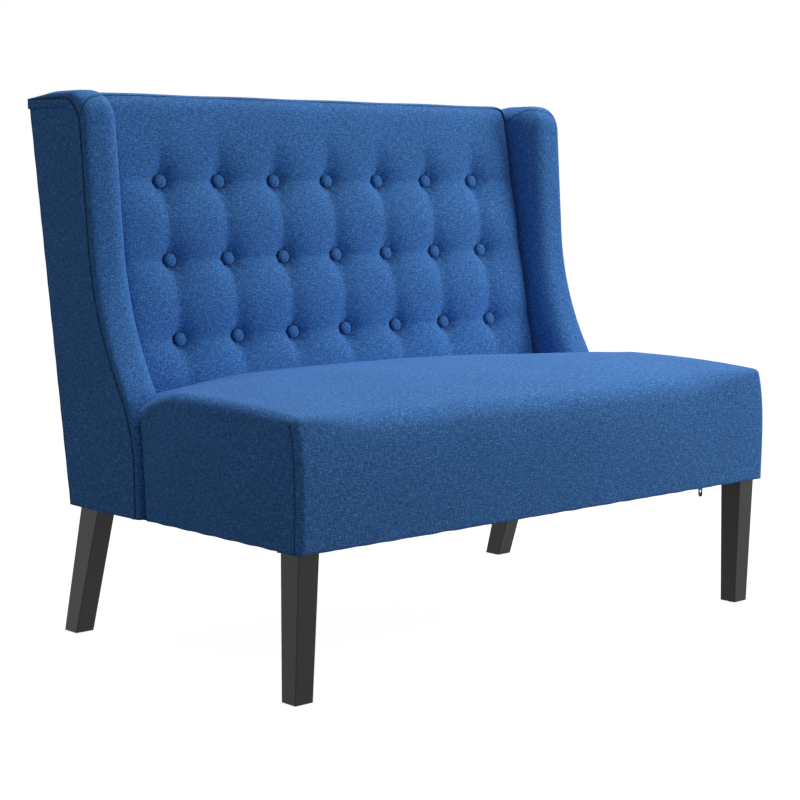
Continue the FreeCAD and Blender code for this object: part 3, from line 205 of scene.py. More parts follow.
for name, node in nodes.items():
    if slot_of[name] in finishes:
        for index in range(len(node.data.materials)):
            node.data.materials[index] = finishes[slot_of[name]]

# Linen-look cloth
# Every cover is one heathered blue polyester cloth with the look of linen: a plain weave of two
# blues, spun with slubs, so it looks mottled from near and even from far. Matt, with a soft sheen.
THREAD = 1.5              # mm, drawn about twice as coarse as the real 0.8 mm so that it shows
SLUB = 9                  # a slub's length in threads
FLECK = (2.4, 2.9)        # mm, the flecks of two dyes
BLOTCH, CLOUD = 6.5, 140  # mm, small blotches and slow clouds of colour
WEAVE_RELIEF = 0.35       # mm


def linen(name, seam_shade):
    """Warp and weft streaks of noise along the cloth's own directions, mixed by a plain weave.

    The mesh's painted shade value, from 0 to 1, darkens the cloth in its seams and grooves by
    seam_shade.
    """
    material, tree, shader = finish(name, 0.92, 0.18, sheen=0.12)
    shader.inputs["Sheen Roughness"].default_value = 0.45
    shader.inputs["Sheen Tint"].default_value = linear("#9dbbe8")
    cloth = add(tree, "UVMap", uv_map="cloth").outputs[0]
    yarns = []
    for long_u, long_v in ((1, SLUB), (SLUB, 1)):
        spread = add(tree, "Mapping", [
            ("Vector", cloth),
            ("Scale", (1 / (MM * THREAD * long_u), 1 / (MM * THREAD * long_v), 1)),
            ("Location", (17.3 * long_u, 5.1 * long_v, 0))])
        yarns.append(add(tree, "TexNoise", [("Vector", spread.outputs[0]), ("Scale", 1.0),
                                            ("Detail", 2.0), ("Roughness", 0.6)]))
    crossing = add(tree, "Mapping", [("Vector", cloth),
                                     ("Scale", (1 / (MM * THREAD), 1 / (MM * THREAD), 1))])
    over = add(tree, "TexChecker", [("Vector", crossing.outputs[0]), ("Scale", 1.0),
                                    ("Color1", (1, 1, 1, 1)), ("Color2", (0, 0, 0, 1))])
    yarn = add(tree, "Mix", [(0, over.outputs["Fac"]), (2, yarns[0].outputs["Fac"]),
                             (3, yarns[1].outputs["Fac"])], data_type="FLOAT")
    fleck = add(tree, "TexNoise", [("Vector", add(tree, "Mapping", [
        ("Vector", cloth), ("Scale", (1 / (MM * FLECK[0]), 1 / (MM * FLECK[1]), 1))]).outputs[0]),
        ("Scale", 1.0), ("Detail", 3.0), ("Roughness", 0.72)])
    mottle = add(tree, "Math", [(0, yarn.outputs[0]), (1, fleck.outputs["Fac"])], operation="ADD")
    half = add(tree, "Math", [(0, mottle.outputs[0]), (1, 0.5)], operation="MULTIPLY")
    ramp = add(tree, "ValToRGB", [(0, half.outputs[0])])
    stops = ramp.color_ramp.elements
    stops[0].position = 0.39
    stops[0].color = linear("#22518f")
    stops[1].position = 0.61
    stops[1].color = linear("#68a6e6")
    middle = stops.new(0.5)
    middle.color = linear("#3a73ba")
    patch = add(tree, "TexNoise", [("Vector", cloth), ("Scale", 1 / (MM * CLOUD)), ("Detail", 2.0)])
    fade = add(tree, "MapRange", [("Value", patch.outputs["Fac"]), ("From Min", 0.3),
                                  ("From Max", 0.7), ("To Min", 0.95), ("To Max", 1.05)])
    blotch = add(tree, "TexNoise", [("Vector", cloth), ("Scale", 1 / (MM * BLOTCH)),
                                    ("Detail", 2.0)])
    spots = add(tree, "MapRange", [("Value", blotch.outputs["Fac"]), ("From Min", 0.3),
                                   ("From Max", 0.7), ("To Min", 0.86), ("To Max", 1.14)])
    # Painted shade: the colour darkened by the mesh's value along seams, grooves and edges
    painted_seam_shade = add(tree, "Attribute", attribute_name="painted_seam_shade")
    painted_shade_factor = add(tree, "Math", [(0, painted_seam_shade.outputs["Fac"]), (1, -seam_shade), (2, 1.0)],
               operation="MULTIPLY_ADD")
    cloudy = add(tree, "Math", [(0, fade.outputs[0]), (1, spots.outputs[0])], operation="MULTIPLY")
    level = add(tree, "Math", [(0, cloudy.outputs[0]), (1, painted_shade_factor.outputs[0])], operation="MULTIPLY")
    colour = add(tree, "VectorMath", [(0, ramp.outputs[0]), (3, level.outputs[0])],
                 operation="SCALE")
    tree.links.new(colour.outputs[0], shader.inputs["Base Color"])
    height = add(tree, "Bump", [("Height", half.outputs[0]), ("Strength", 0.7),
                                ("Distance", WEAVE_RELIEF * MM)])
    tree.links.new(height.outputs[0], shader.inputs["Normal"])
    return material


blue_linen = linen("heathered_blue_linen_weave", 0.55)


def smooth_step(low, high, value):
    """0 below low, 1 above high, and the cubic 3t^2 - 2t^3 between."""
    t = np.clip((value - low) / (high - low), 0, 1)
    return t * t * (3 - 2 * t)


def lengths(path):
    """The length along a path from its start to each of its points."""
    return np.concatenate([[0], np.cumsum(np.linalg.norm(np.diff(path, axis=0), axis=1))])


def sewn(name, patches, behind, thickness=2.4, replaces=(), cloth=blue_linen):
    """One sewn cover from patches, each a grid of points in mm with a painted shade value at each
    point.

    A patch is (points[n, m, 3], painted shade[n, m], kept quads[n - 1, m - 1] or None). Quads join
    each point to the next along both directions; patches that meet share their points. The cloth's
    own map is the length along the middle of each direction, in metres. Faces turn away from the
    point behind the cloth, and the cloth gets its thickness inward.
    """
    corners, faces, maps, painted_seam_shades = [], [], [], []
    start = 0
    for points, painted_seam_shade, kept in patches:
        rows, columns = points.shape[:2]
        index = start + np.arange(rows * columns).reshape(rows, columns)
        quads = np.stack([index[:-1, :-1], index[:-1, 1:], index[1:, 1:], index[1:, :-1]], axis=-1)
        centre = points[:-1, :-1] + (points[1:, 1:] - points[:-1, :-1]) / 2
        normal = np.cross(points[:-1, 1:] - points[:-1, :-1], points[1:, :-1] - points[:-1, :-1])
        if np.sum(normal * (centre - np.asarray(behind, float))) < 0:
            quads = quads[..., ::-1]
        if kept is not None:
            quads = quads[kept]
        faces.append(quads.reshape(-1, 4))
        across = lengths(points[rows // 2])
        along = lengths(points[:, columns // 2])
        maps.append(np.stack(np.broadcast_arrays(across[None, :], along[:, None]),
                             axis=-1).reshape(-1, 2))
        corners.append(points.reshape(-1, 3))
        painted_seam_shades.append(np.broadcast_to(painted_seam_shade, (rows, columns)).reshape(-1))
        start += rows * columns
    corners = np.concatenate(corners) * MM
    faces = np.concatenate(faces)
    maps = np.concatenate(maps) * MM
    mesh = bpy.data.meshes.new(name)
    mesh.from_pydata(corners, [], faces)
    sheet_map = mesh.uv_layers.new(name="cloth")
    sheet_map.data.foreach_set("uv", maps[faces.reshape(-1)].astype(np.float32).reshape(-1))
    # The painted shade along seams, grooves and edges, kept on the mesh for the cloth's colour
    shade = mesh.attributes.new("painted_seam_shade", "FLOAT", "POINT")
    shade.data.foreach_set("value", np.concatenate(painted_seam_shades).astype(np.float32))
    mesh.polygons.foreach_set("use_smooth", np.ones(len(faces), dtype=bool))
    mesh.materials.append(cloth)
    piece = bpy.data.objects.new(name, mesh)
    bpy.context.scene.collection.objects.link(piece)
    join_edges(mesh)
    if thickness:
        wall = piece.modifiers.new("cloth_thickness", "SOLIDIFY")
        wall.thickness = thickness * MM
        wall.offset = -1
    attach(piece, "settee")
    if replaces:
        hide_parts(*replaces)
    return piece


def join_edges(mesh):
    """Patches that meet share their edge points."""
    work = bmesh.new()
    work.from_mesh(mesh)
    bmesh.ops.remove_doubles(work, verts=work.verts, dist=0.02 * MM)
    loose = [vert for vert in work.verts if not vert.link_faces]
    bmesh.ops.delete(work, geom=loose, context="VERTS")
    work.to_mesh(mesh)
    work.free()


def other_side(patches):
    """The same patches mirrored in x."""
    return [(points * np.array([-1, 1, 1]), painted_seam_shade, kept) for points, painted_seam_shade, kept in patches]


# Planes and lines that the covers share, in mm and radians
HEM = 245.0
FRONT = -370.0
REAR_TOP, BACK_TOP, BACK_RAKE = 370, 958, math.radians(7.72)       # outer back: y, z and rake
TUFT_FRONT, MIDDLE_ROW, TUFT_LEAN = 224, 673.6, math.radians(11.2)  # button plane: y, z and lean
WING_INNER, WING_OUTER = 504, 582                                  # the wing's faces at its foot
FLARE, FLARE_HEIGHT = 8, 731                                       # the wing leans out so far
FOOT_ARC, FOOT_ARC_START = 270, 324.7       # the curve of the wing's front above its upright foot


def rear_y(z, depth=0.0):
    """The raked outer back at height z, or a plane that far inside it."""
    return REAR_TOP - math.tan(BACK_RAKE) * (BACK_TOP - z) - depth


def tuft_y(z, behind=0.0):
    """The leaning plane through the faces of the buttons at height z."""
    return TUFT_FRONT + math.tan(TUFT_LEAN) * (z - MIDDLE_ROW) + behind


def splayed(points):
    """The wing's lean: a turn of 0.627 degrees about the foot of its outer face."""
    turn = math.atan(FLARE / FLARE_HEIGHT)
    x = points[..., 0] - WING_OUTER
    z = points[..., 2] - HEM
    return np.stack([WING_OUTER + x * math.cos(turn) + z * math.sin(turn), points[..., 1],
                     HEM + z * math.cos(turn) - x * math.sin(turn)], axis=-1)


def foot_arc(z):
    """How far the wing's front lies behind its foot at height z, up to 120 mm up the arc."""
    return FOOT_ARC - np.sqrt(FOOT_ARC ** 2 - np.clip(z - FOOT_ARC_START, 0, 120) ** 2)


# Seat cover
# One tight cover over 60 mm of foam: it falls over the front and both sides without a top seam,
# is sewn down each front corner, and is stapled under the rails, which leaves small hem ripples.
SEAT_SIDE = 578.0                       # half the seat's width
SIDE_ROLL, CORNER_ROLL = 20.0, 15.0     # radii between the top and a side, and down a front corner
FULL = 2.5                              # how full the crown's front is: the power of its curve
FLAT_HALF = 566                         # half the width over which the section changes
EDGE_HEIGHT, END_CROWN, CROWN_RISE = 458.0, 469, 11
CREST_BACK = 310                        # front of the seat to its highest line
SEAT_REAR = 229
FRONT_ROLL, FRONT_ROLL_LOSS = 50.0, 38.0
WALL_BOW, WALL_LEAN = 4, 13
POCKET_DEPTH, REAR_FALL, MIDDLE_SWELL = 34, 24, 3.5
SIDE_END, SIDE_TUCK, SIDE_BULGE = 43.0, 17, 8.0
STAPLE_FADE = 14                        # height over which a hem ripple fades


def seat_outline(x, count_wall, count_roll, count_top):
    """Front wall arc, rolled edge arc and crowned top parabola of the section at each x.

    Returns y and z of shape (len(x), points). The wall bows 4 mm and leans back 13 in a fourth
    power. The roll's radius is 50, and 12 at the ends. The top rises to its crown 310 mm behind
    the front in the power FULL, and falls to the back in a parabola.
    """
    x = np.asarray(x, float)[:, None]
    crown = END_CROWN + CROWN_RISE * (1 - np.clip(np.abs(x) / FLAT_HALF, 0, 1) ** 2)
    roll = FRONT_ROLL - FRONT_ROLL_LOSS * smooth_step(380, FLAT_HALF, np.abs(x))
    wall_top = EDGE_HEIGHT - 0.78 * roll
    t = np.linspace(0, 1, count_wall)[None, :]
    wall_z = HEM + (wall_top - HEM) * t + 0 * x
    wall_y = FRONT + WALL_BOW * (1 - t) ** 2 + WALL_LEAN * t ** 4 + 0 * x
    slope = np.arctan2(WALL_LEAN * 4, wall_top - HEM)
    rise = np.arctan2(FULL * (crown - EDGE_HEIGHT), CREST_BACK - WALL_LEAN - roll) + 0 * x
    t = np.linspace(0, 1, count_roll + 1)[None, 1:]
    turn = slope + (math.pi / 2 - rise - slope) * t
    y = FRONT + WALL_LEAN + roll * (np.cos(slope) - np.cos(turn))
    z = wall_top + roll * (np.sin(turn) - np.sin(slope))
    y_edge, z_edge = y[:, -1:], z[:, -1:]
    t = np.linspace(0, 1, count_top + 1)[None, 1:]
    top_y = y_edge + (SEAT_REAR - y_edge) * t
    peak = FRONT + CREST_BACK
    ahead = np.clip((top_y - peak) / (y_edge - peak), 0, 1)
    fore = z_edge + (crown - z_edge) * (1 - ahead ** FULL)
    aft = crown - (crown - EDGE_HEIGHT) * ((top_y - peak) / (SEAT_REAR - peak)) ** 2
    top_z = np.where(top_y < peak, fore, aft)
    return np.concatenate([wall_y, y, top_y], axis=1), np.concatenate([wall_z, z, top_z], axis=1)


WALL, ROLL, TOP = 40, 10, 90
SIDE_STEPS = 12
side_turn = np.linspace(0, 90, SIDE_STEPS + 1)
inner_x = np.linspace(-1, 1, 161)
ends = [FLAT_HALF] * SIDE_STEPS
flat_y, flat_z = seat_outline(np.concatenate([np.negative(ends), inner_x * 558, ends]), WALL, ROLL, TOP)
run_y = np.gradient(flat_y, axis=1)
run_z = np.gradient(flat_z, axis=1)
run = np.hypot(run_y, run_z)
out_y, out_z = -run_z / run, run_y / run
along = np.arange(WALL + ROLL + TOP)
on_top = (along > WALL + ROLL)[None, :]
radius = CORNER_ROLL + (SIDE_ROLL - CORNER_ROLL) * smooth_step(WALL - 6, WALL + ROLL + 10, along)
x = inner_x[:, None] * (SEAT_SIDE - radius)[None, :]
turns = np.radians(side_turn[1:])
right_x = (SEAT_SIDE - radius)[None, :] + radius[None, :] * np.sin(turns)[:, None]
x = np.concatenate([-right_x[::-1], x, right_x])
sink = radius[None, :] * (1 - np.cos(turns))[:, None]
sink = np.concatenate([sink[::-1], np.zeros((len(inner_x), len(along))), sink])
y = flat_y - out_y * sink
z = flat_z - out_z * sink
# The corner seam: at the side's end of the corner, drawn in 2 mm, and closed where the top begins
SEAM_ANGLE = 75
angle = np.concatenate([side_turn[:0:-1], np.zeros(len(inner_x)), side_turn[1:]])
off_seam = np.radians(np.abs(angle - SEAM_ANGLE))[:, None] * radius[None, :]
below_top = 1 - smooth_step(WALL + ROLL - 3, WALL + ROLL + 2, along)
tuck = (angle > 0)[:, None] * below_top[None, :] * np.exp(-(off_seam / 1.5) ** 2)
y = y + 0.8 * tuck
x = x - np.sign(x) * 2.2 * tuck
# The pocket where the cover is drawn down between the seat and the wing's front band
pocket = np.exp(-((np.abs(x) - 575) / 46) ** 2) * smooth_step(-55, 75, y)
rear = smooth_step(-20, SEAT_REAR, y) * on_top
z = z - POCKET_DEPTH * pocket * on_top - REAR_FALL * rear * smooth_step(265, 520, np.abs(x))
z = z + MIDDLE_SWELL * rear * (1 - smooth_step(100, 330, np.abs(x)))
x = x * (1 - 0.026 * smooth_step(SIDE_END, 54, y))


def behind_foot(y, z):
    """How far the side reaches back past the hem to follow the wing's front."""
    return foot_arc(z) * smooth_step(-100, SIDE_END, y) * (1 - smooth_step(70, SEAT_REAR, y))


y = y + behind_foot(y, z) * smooth_step(480, 560, np.abs(x))
# The top edge of each side runs rearward all the way, so that the side under it has no fold
for side in (0, -1):
    top_run = np.maximum.accumulate(y[side, WALL - 1:])
    y[side, WALL - 1:] = top_run + 0.03 * np.arange(ROLL + TOP + 1)
# Hem ripples between staples, and slow unevenness of hand-pulled cloth
hem = np.exp(-(flat_z - HEM) / STAPLE_FADE) * (along < WALL)[None, :]
z = z + hem * 0.5 * np.sin(x / 9.0) * np.sin(x / 47.0 + 1)
y = y + hem * 0.6 * np.sin(x / 14.0 + 2)
cover = np.stack([x, y, z], axis=-1).transpose(1, 0, 2)
# Painted shade in the tucked corner seams
painted_seam_shade = (tuck * 0.9).T
turned_under = np.array([[0, 46, 0.4], [0, 22, -0.2]])
turned = np.stack([cover[0] * np.array([0.998, 1, 1]) + step for step in turned_under])
plain = np.zeros((len(turned_under), painted_seam_shade.shape[1]))
seat_front = (np.concatenate([turned, cover]), np.concatenate([plain, painted_seam_shade]), None)

# Each side hangs from the rolled top edge down to the hem
top_edge = cover[WALL - 1:, -1]
last = np.searchsorted(top_edge[:, 1], SIDE_END + SIDE_TUCK)
top_edge = top_edge[:last]
rows = (cover[:WALL, -1, 2] - HEM) / (cover[WALL - 1, -1, 2] - HEM)
hang = np.stack([np.broadcast_to(top_edge[None, :, 0], (WALL, last)),
                 np.broadcast_to(top_edge[None, :, 1], (WALL, last)),
                 HEM + (top_edge[None, :, 2] - HEM) * rows[:, None]], axis=-1).copy()
hang[:, 0] = cover[:WALL, -1]
lift = np.sin(np.pi * rows)[:, None] * smooth_step(0, 60, hang[..., 1] - hang[:, :1, 1])
hang[..., 1] -= (1 - rows)[:, None] ** 0.6 * SIDE_TUCK * smooth_step(-100, 60, hang[..., 1])
hang[..., 0] += SIDE_BULGE * lift * (1 - smooth_step(-60, 40, hang[..., 1]))
ripple = 0.5 * np.exp(-(hang[..., 2] - HEM) / STAPLE_FADE)
hang[..., 2] += ripple * np.sin(hang[..., 1] / 9.0) * smooth_step(FRONT, FRONT + 30, hang[..., 1])
# The side's rear edge folds inward, and its flap is tucked under the wing's front band
fold = np.array([(0.5, 1.6), (2.0, 3.2), (4.6, 4.6), (9.0, 5.2), (16.0, 5.4)])
folded = np.stack([hang[:, -1, None, 0] - fold[None, :, 0],
                   np.repeat(hang[:, -1:, 1], len(fold), axis=1) + fold[None, :, 1],
                   np.repeat(hang[:, -1:, 2], len(fold), axis=1)], axis=-1)
flap = folded[:, -1] - np.array([2.0, 0, 0])
flap[:, 1] = np.maximum(flap[:, 1], 59 + foot_arc(flap[:, 2]))
hang = np.concatenate([hang, folded, flap[:, None]], axis=1)
seat_side = (hang, np.zeros(hang.shape[:2]), None)
sewn("seat_cover_sewn", [seat_front, seat_side] + other_side([seat_side]), (0, -60, 300),
     replaces=("seat_cover", "seat_side_panel_left", "seat_side_panel_right", "seat_foam"))

# Tufted inner back
# Cloth over 20 mm of wadding and foam, pulled in by 21 buttons on a 130 by 141 mm grid. It swells
# between them, with soft upright creases from button to button and fainter level ones.
COLUMNS = np.arange(-3, 4) * 130.0
ROWS = MIDDLE_ROW + np.arange(-1, 2) * 141.0
BACK_LOW, STRIP_SEAM = 462.0, 966.0     # the cloth's lower and upper edges
EDGE_ROUND = 36                         # the radius of its two upper corners
PUFF = 15                               # how far it swells in front of the buttons


def back_half_width(z):
    """Half the width between the splayed wings at height z."""
    turn = math.atan(FLARE / FLARE_HEIGHT)
    foot = WING_OUTER + (WING_INNER - WING_OUTER) / math.cos(turn)
    return foot + math.tan(turn) * (z - HEM) - 0.3


def nearest(value, lines):
    """The signed distance to the nearest of some lines, and that line's number."""
    gaps = value[..., None] - lines
    which = np.argmin(np.abs(gaps), axis=-1)
    return np.take_along_axis(gaps, which[..., None], axis=-1)[..., 0], which


def swell(x, z):
    """How far the cloth stands in front of the button plane.

    A puff 15 mm high less a level crease at each row, less an upright crease at each column that
    is deep at a button and shallow midway, less a dimple round each button, with small gathers.
    """
    dx, column = nearest(x, COLUMNS)
    dz, row = nearest(z, ROWS)
    above = smooth_step(ROWS[-1] + 20, ROWS[-1] + 95, z)
    below = smooth_step(ROWS[0] - 12, ROWS[0] - 60, z)
    level = np.exp(-np.hypot(dz, 4) / 16) * 5.5 + np.exp(-(dz / 42) ** 2) * 3.5
    level = level * (1 - smooth_step(COLUMNS[-1] + 20, COLUMNS[-1] + 95, np.abs(x)) * 0.65)
    hold = np.exp(-np.abs(dz) / 24)
    depth = 6.0 + 8.0 * hold
    depth = depth * (1 - 0.92 * above) * (1 - 0.35 * below)
    narrow = np.exp(-(dx / 19) ** 2)
    broad = np.clip(1 - np.abs(dx) / 65, 0, 1) ** 2
    upright = depth * (0.45 * narrow + 0.55 * broad)
    reach = np.hypot(dx, dz)
    dimple = 8.5 * np.exp(-(reach / 15) ** 1.3) + 4.5 * np.exp(-(reach / 38) ** 2)
    gathers = np.cos(8 * np.arctan2(dz, dx) + column * 1.7 + row)
    ring = np.exp(-((reach - 17) / 8) ** 2)
    return PUFF - level - upright - dimple + 0.7 * gathers * ring


across = np.linspace(-1, 1, 409)
heights = np.linspace(BACK_LOW, STRIP_SEAM, 203)
grid_x = across[None, :] * back_half_width(heights)[:, None]
# The lower edge follows the seat down towards the wings
sunk = 4 + 25 * smooth_step(265, 520, np.abs(grid_x))
grid_z = heights[:, None] - sunk * (1 - smooth_step(BACK_LOW, 540, heights))[:, None]
front = swell(grid_x, grid_z)
to_side = back_half_width(heights)[:, None] - np.abs(grid_x)
front = front - 20 * np.exp(-to_side / 9) - 4 * np.exp(-to_side / 40)
to_top = STRIP_SEAM - grid_z
front = front - 9 * np.exp(-to_top / 8) - 3 * np.exp(-to_top / 40)
corner = np.hypot(np.clip(EDGE_ROUND - to_side, 0, None), np.clip(EDGE_ROUND - to_top, 0, None))
# Painted shade along the cloth's sides and top, where it dips in beside the wings and the top strip
back_edge_painted_shade = 0.5 * np.exp(-to_side / 5) + 0.8 * np.exp(-to_top / 3)
tufted = np.stack([grid_x, tuft_y(grid_z) - front * math.cos(TUFT_LEAN),
                   grid_z + front * math.sin(TUFT_LEAN) * 0.5], axis=-1)
inside = corner[:-1, :-1] < EDGE_ROUND + 2
sewn("inner_back_tufted", [(tufted, np.clip(back_edge_painted_shade, 0, 1), inside)], (0, 400, 650),
     replaces=("back_cover_tufted",))

# Covered buttons
# Twenty-one 23 mm moulds covered in the same cloth, which gathers round the rim.
BUTTON = 12.4     # its radius
# Its section from the middle to behind the rim: share of the radius, and height in mm
rings = np.array([(0.0, 6.0), (0.22, 5.95), (0.45, 5.7), (0.65, 5.2), (0.8, 4.5), (0.9, 3.6),
                  (0.97, 2.4), (1.0, 1.2), (0.97, 0.1), (0.85, -0.8), (0.6, -1.2)])
turns = np.linspace(0, 2 * np.pi, 33)
gather = 1 + 0.018 * np.cos(9 * turns)[None, :] * (rings[:, :1] > 0.8)
disc_x = BUTTON * rings[:, :1] * np.cos(turns)[None, :] * gather
disc_z = BUTTON * rings[:, :1] * np.sin(turns)[None, :] * gather
rise = np.broadcast_to(rings[:, 1:], disc_x.shape)
patches = []
for row_z in ROWS:
    for column_x in COLUMNS:
        seat_y = tuft_y(row_z, 5.6)
        local = np.stack([column_x + disc_x,
                          seat_y - rise * math.cos(TUFT_LEAN) + disc_z * math.sin(TUFT_LEAN),
                          row_z + disc_z * math.cos(TUFT_LEAN) + rise * math.sin(TUFT_LEAN)],
                         axis=-1)
        # Painted shade round each button's rim
        patches.append((local, 0.7 * smooth_step(0.93, 1.0, rings[:, :1]) + 0 * disc_x, None))
sewn("covered_buttons", patches, (0, 400, 650), thickness=0,
     replaces=("tuft_buttons",))

# Top strip
# A strip over the top rail, sewn to the inner back just under the front edge and tacked behind.
# It arches over the wadding, and its rounded ends run down between the back and the wings.
ARCH = 9.5
END_ROUND, END_DROP, END_TUCK = 26, 18, 24
t = np.linspace(0, 1, 25)
front_y = tuft_y(STRIP_SEAM) - 2
rear_top = rear_y(BACK_TOP, 0.5)
arch_y = front_y + (rear_top - front_y) * (1 - np.cos(np.pi * t)) / 2
arch_z = STRIP_SEAM + (BACK_TOP - STRIP_SEAM) * t + ARCH * np.sin(np.pi * t) ** 0.7
arch_y = np.concatenate([[front_y + 3.0, front_y + 0.8], arch_y, [rear_top + 0.2]])
arch_z = np.concatenate([[964.2, 965.0], arch_z, [955.0]])
half = back_half_width(STRIP_SEAM)
strip_x = np.concatenate([[-half], np.linspace(-half, half, 205), [half]])
from_flat = np.clip(np.abs(strip_x) - (half - END_ROUND), 0, END_ROUND) / END_ROUND
drop = END_DROP * (1 - np.sqrt(np.clip(1 - from_flat ** 2, 0, 1)))
drop[[0, -1]] += END_TUCK
strip = np.stack([np.broadcast_to(strip_x[None, :], (len(arch_y), len(strip_x))),
                  np.broadcast_to(arch_y[:, None], (len(arch_y), len(strip_x))),
                  arch_z[:, None] - drop[None, :] + 0.5 * np.sin(strip_x / 37.0)[None, :]], axis=-1)
# Painted shade along the front rows, where the strip is sewn to the inner back
strip_painted_shade = np.zeros(strip.shape[:2])
strip_painted_shade[:3] = 0.8
sewn("back_top_strip_cloth", [(strip, strip_painted_shade, None)], (0, 320, 900),
     replaces=("back_top_strip",))

# Wings
# Each wing is a curved plywood panel with foam, covered on its inner face, front and top by one
# band that rolls round the edge, and outside by a flat panel with a double-stitched seam.
FRONT_COUNT, ARC_COUNT, TOP_COUNT = 120, 48, 40
FOOT_FRONT = 50.0                             # y of the upright foot
SWEEP_LOW, SWEEP_HIGH = 397.0, 593.0          # heights where the front turns back and upright
SWEEP, UPPER_LEAN = math.radians(30), math.radians(4.4)
HIGH_ARC, CREST_ARC = 523.0, 150.0            # radii


def resampled(path, count):
    """Points at even lengths along a path of (y, z)."""
    length = lengths(path)
    wanted = np.linspace(0, length[-1], count)
    return np.stack([np.interp(wanted, length, path[:, axis]) for axis in (0, 1)], axis=-1)


def bend(before, corner, after, radius):
    """The arc of a radius that rounds a corner, as 24 points from tangent to tangent."""
    back = (before - corner) / np.linalg.norm(before - corner)
    ahead = (after - corner) / np.linalg.norm(after - corner)
    half = math.acos(np.clip(back @ ahead, -1, 1)) / 2
    middle = (back + ahead) / np.linalg.norm(back + ahead)
    centre = corner + middle * radius / math.sin(half)
    first = corner + back * radius / math.tan(half) - centre
    final = corner + ahead * radius / math.tan(half) - centre
    turn = math.atan2(first[0] * final[1] - first[1] * final[0], first @ final)
    angles = np.linspace(0, turn, 24)
    return centre + np.stack([first[0] * np.cos(angles) - first[1] * np.sin(angles),
                              first[0] * np.sin(angles) + first[1] * np.cos(angles)], axis=-1)


def wing_edge(set_back, top_front, top_rear, corner=50.0):
    """The wing's edge from hem to top rear, moved inward: front, top corner and top, as (y, z)."""
    sweep = FOOT_FRONT + (SWEEP_HIGH - SWEEP_LOW) * math.tan(SWEEP)
    high = top_front + set_back
    foot, low = np.array([FOOT_FRONT, HEM]), np.array([FOOT_FRONT, SWEEP_LOW])
    mid = np.array([sweep, SWEEP_HIGH])
    peak = np.array([sweep + (high - SWEEP_HIGH) * math.tan(UPPER_LEAN), high])
    rear = np.array([rear_y(top_rear + set_back, 3.0), top_rear + set_back])
    crest = peak + np.array([0.6 * (rear[0] - peak[0]), 0.0])
    arcs = [bend(foot, low, mid, FOOT_ARC), bend(low, mid, peak, HIGH_ARC),
            bend(mid, peak, crest, corner)]
    parts = [resampled(np.concatenate([[foot], arcs[0], arcs[1], arcs[2][:1]]), FRONT_COUNT),
             resampled(arcs[2], ARC_COUNT + 1)[1:]]
    over = [arcs[2][-1:]]
    if top_rear < top_front:
        over.append(bend(peak, crest, rear, CREST_ARC))
    over.append(rear[None])
    parts.append(resampled(np.concatenate(over), TOP_COUNT + 1)[1:])
    edge = np.concatenate(parts)
    run = np.gradient(edge, axis=0)
    run[1:-1] = (edge[2:] - edge[:-2]) / 2
    run /= np.linalg.norm(run, axis=1)[:, None]
    inward = np.stack([run[:, 1], -run[:, 0]], axis=-1)
    return edge + set_back * inward


nose = wing_edge(4, 971.5, 961.5)
inner_line = wing_edge(34, 938, 928, 74.0)
SEAM_BACK, SEAM_CORNER = 16.0, 70.0
HALF_WING = (WING_OUTER - WING_INNER) / 2
seam_line = wing_edge(SEAM_BACK, BACK_TOP, BACK_TOP, SEAM_CORNER)
# The band's section is two quarters of superellipses: power 2.1 inside and 3.6 outside
quarter = np.radians(np.linspace(0, 90, 17))[None, :, None]
rounder, fuller = 2 / 2.1, 2 / 3.6
outward = np.abs(np.cos(quarter[:, 1:])) ** fuller
shape = [(inner_line[:, None] + (nose - inner_line)[:, None] * np.sin(quarter) ** rounder,
          WING_INNER + HALF_WING * (1 - np.cos(quarter[0, :, 0]) ** rounder)),
         (seam_line[:, None] + (nose - seam_line)[:, None] * outward,
          WING_INNER + HALF_WING * (1 + np.sin(quarter[0, 1:, 0]) ** fuller))]
flat = np.concatenate([part for part, xs in shape], axis=1)
band_x = np.concatenate([xs for part, xs in shape])
rearward = (seam_line - nose) / np.linalg.norm(seam_line - nose, axis=1)[:, None]
flat = np.concatenate([flat, (seam_line + rearward * 0.8)[:, None]], axis=1)
band_x = np.concatenate([band_x, [WING_OUTER - 2.0]])
band = np.concatenate([np.broadcast_to(band_x[None, :, None], flat.shape[:2] + (1,)), flat],
                      axis=-1).copy()
# Painted shade along the band's outer seam
band_painted_shade = np.zeros(band.shape[:2])
band_painted_shade[:, -2:] = 0.85
# The dart seam across the band at the top front corner
dart_row = FRONT_COUNT + 6 + 46 * (1 - np.linspace(0, 1, band.shape[1])) ** 1.4
step = np.linalg.norm(nose[FRONT_COUNT + 4] - nose[FRONT_COUNT + 3])
to_dart = np.abs(np.arange(len(nose))[:, None] - dart_row[None, :]) * step
groove = np.exp(-(to_dart / 2.4) ** 2)
DART_DEPTH = 2.0
middle = np.array([545.0, 260.0, 900.0])
pull = middle - band
pull /= np.linalg.norm(pull, axis=-1)[..., None]
band += DART_DEPTH * groove[..., None] * pull
# Painted shade in the dart's groove
band_painted_shade = np.maximum(band_painted_shade, groove)
# The band's rear end is turned down inside the outer back
closed = np.concatenate([band, band[-1:] + np.array([0, -1.0, -12.0])])
closed_painted_shade = np.concatenate([band_painted_shade, band_painted_shade[-1:]])
kept = ~((closed[:-1, :-1, 2] < 400) & (closed[:-1, :-1, 0] < 563))
band_patch = (splayed(closed), closed_painted_shade, kept)

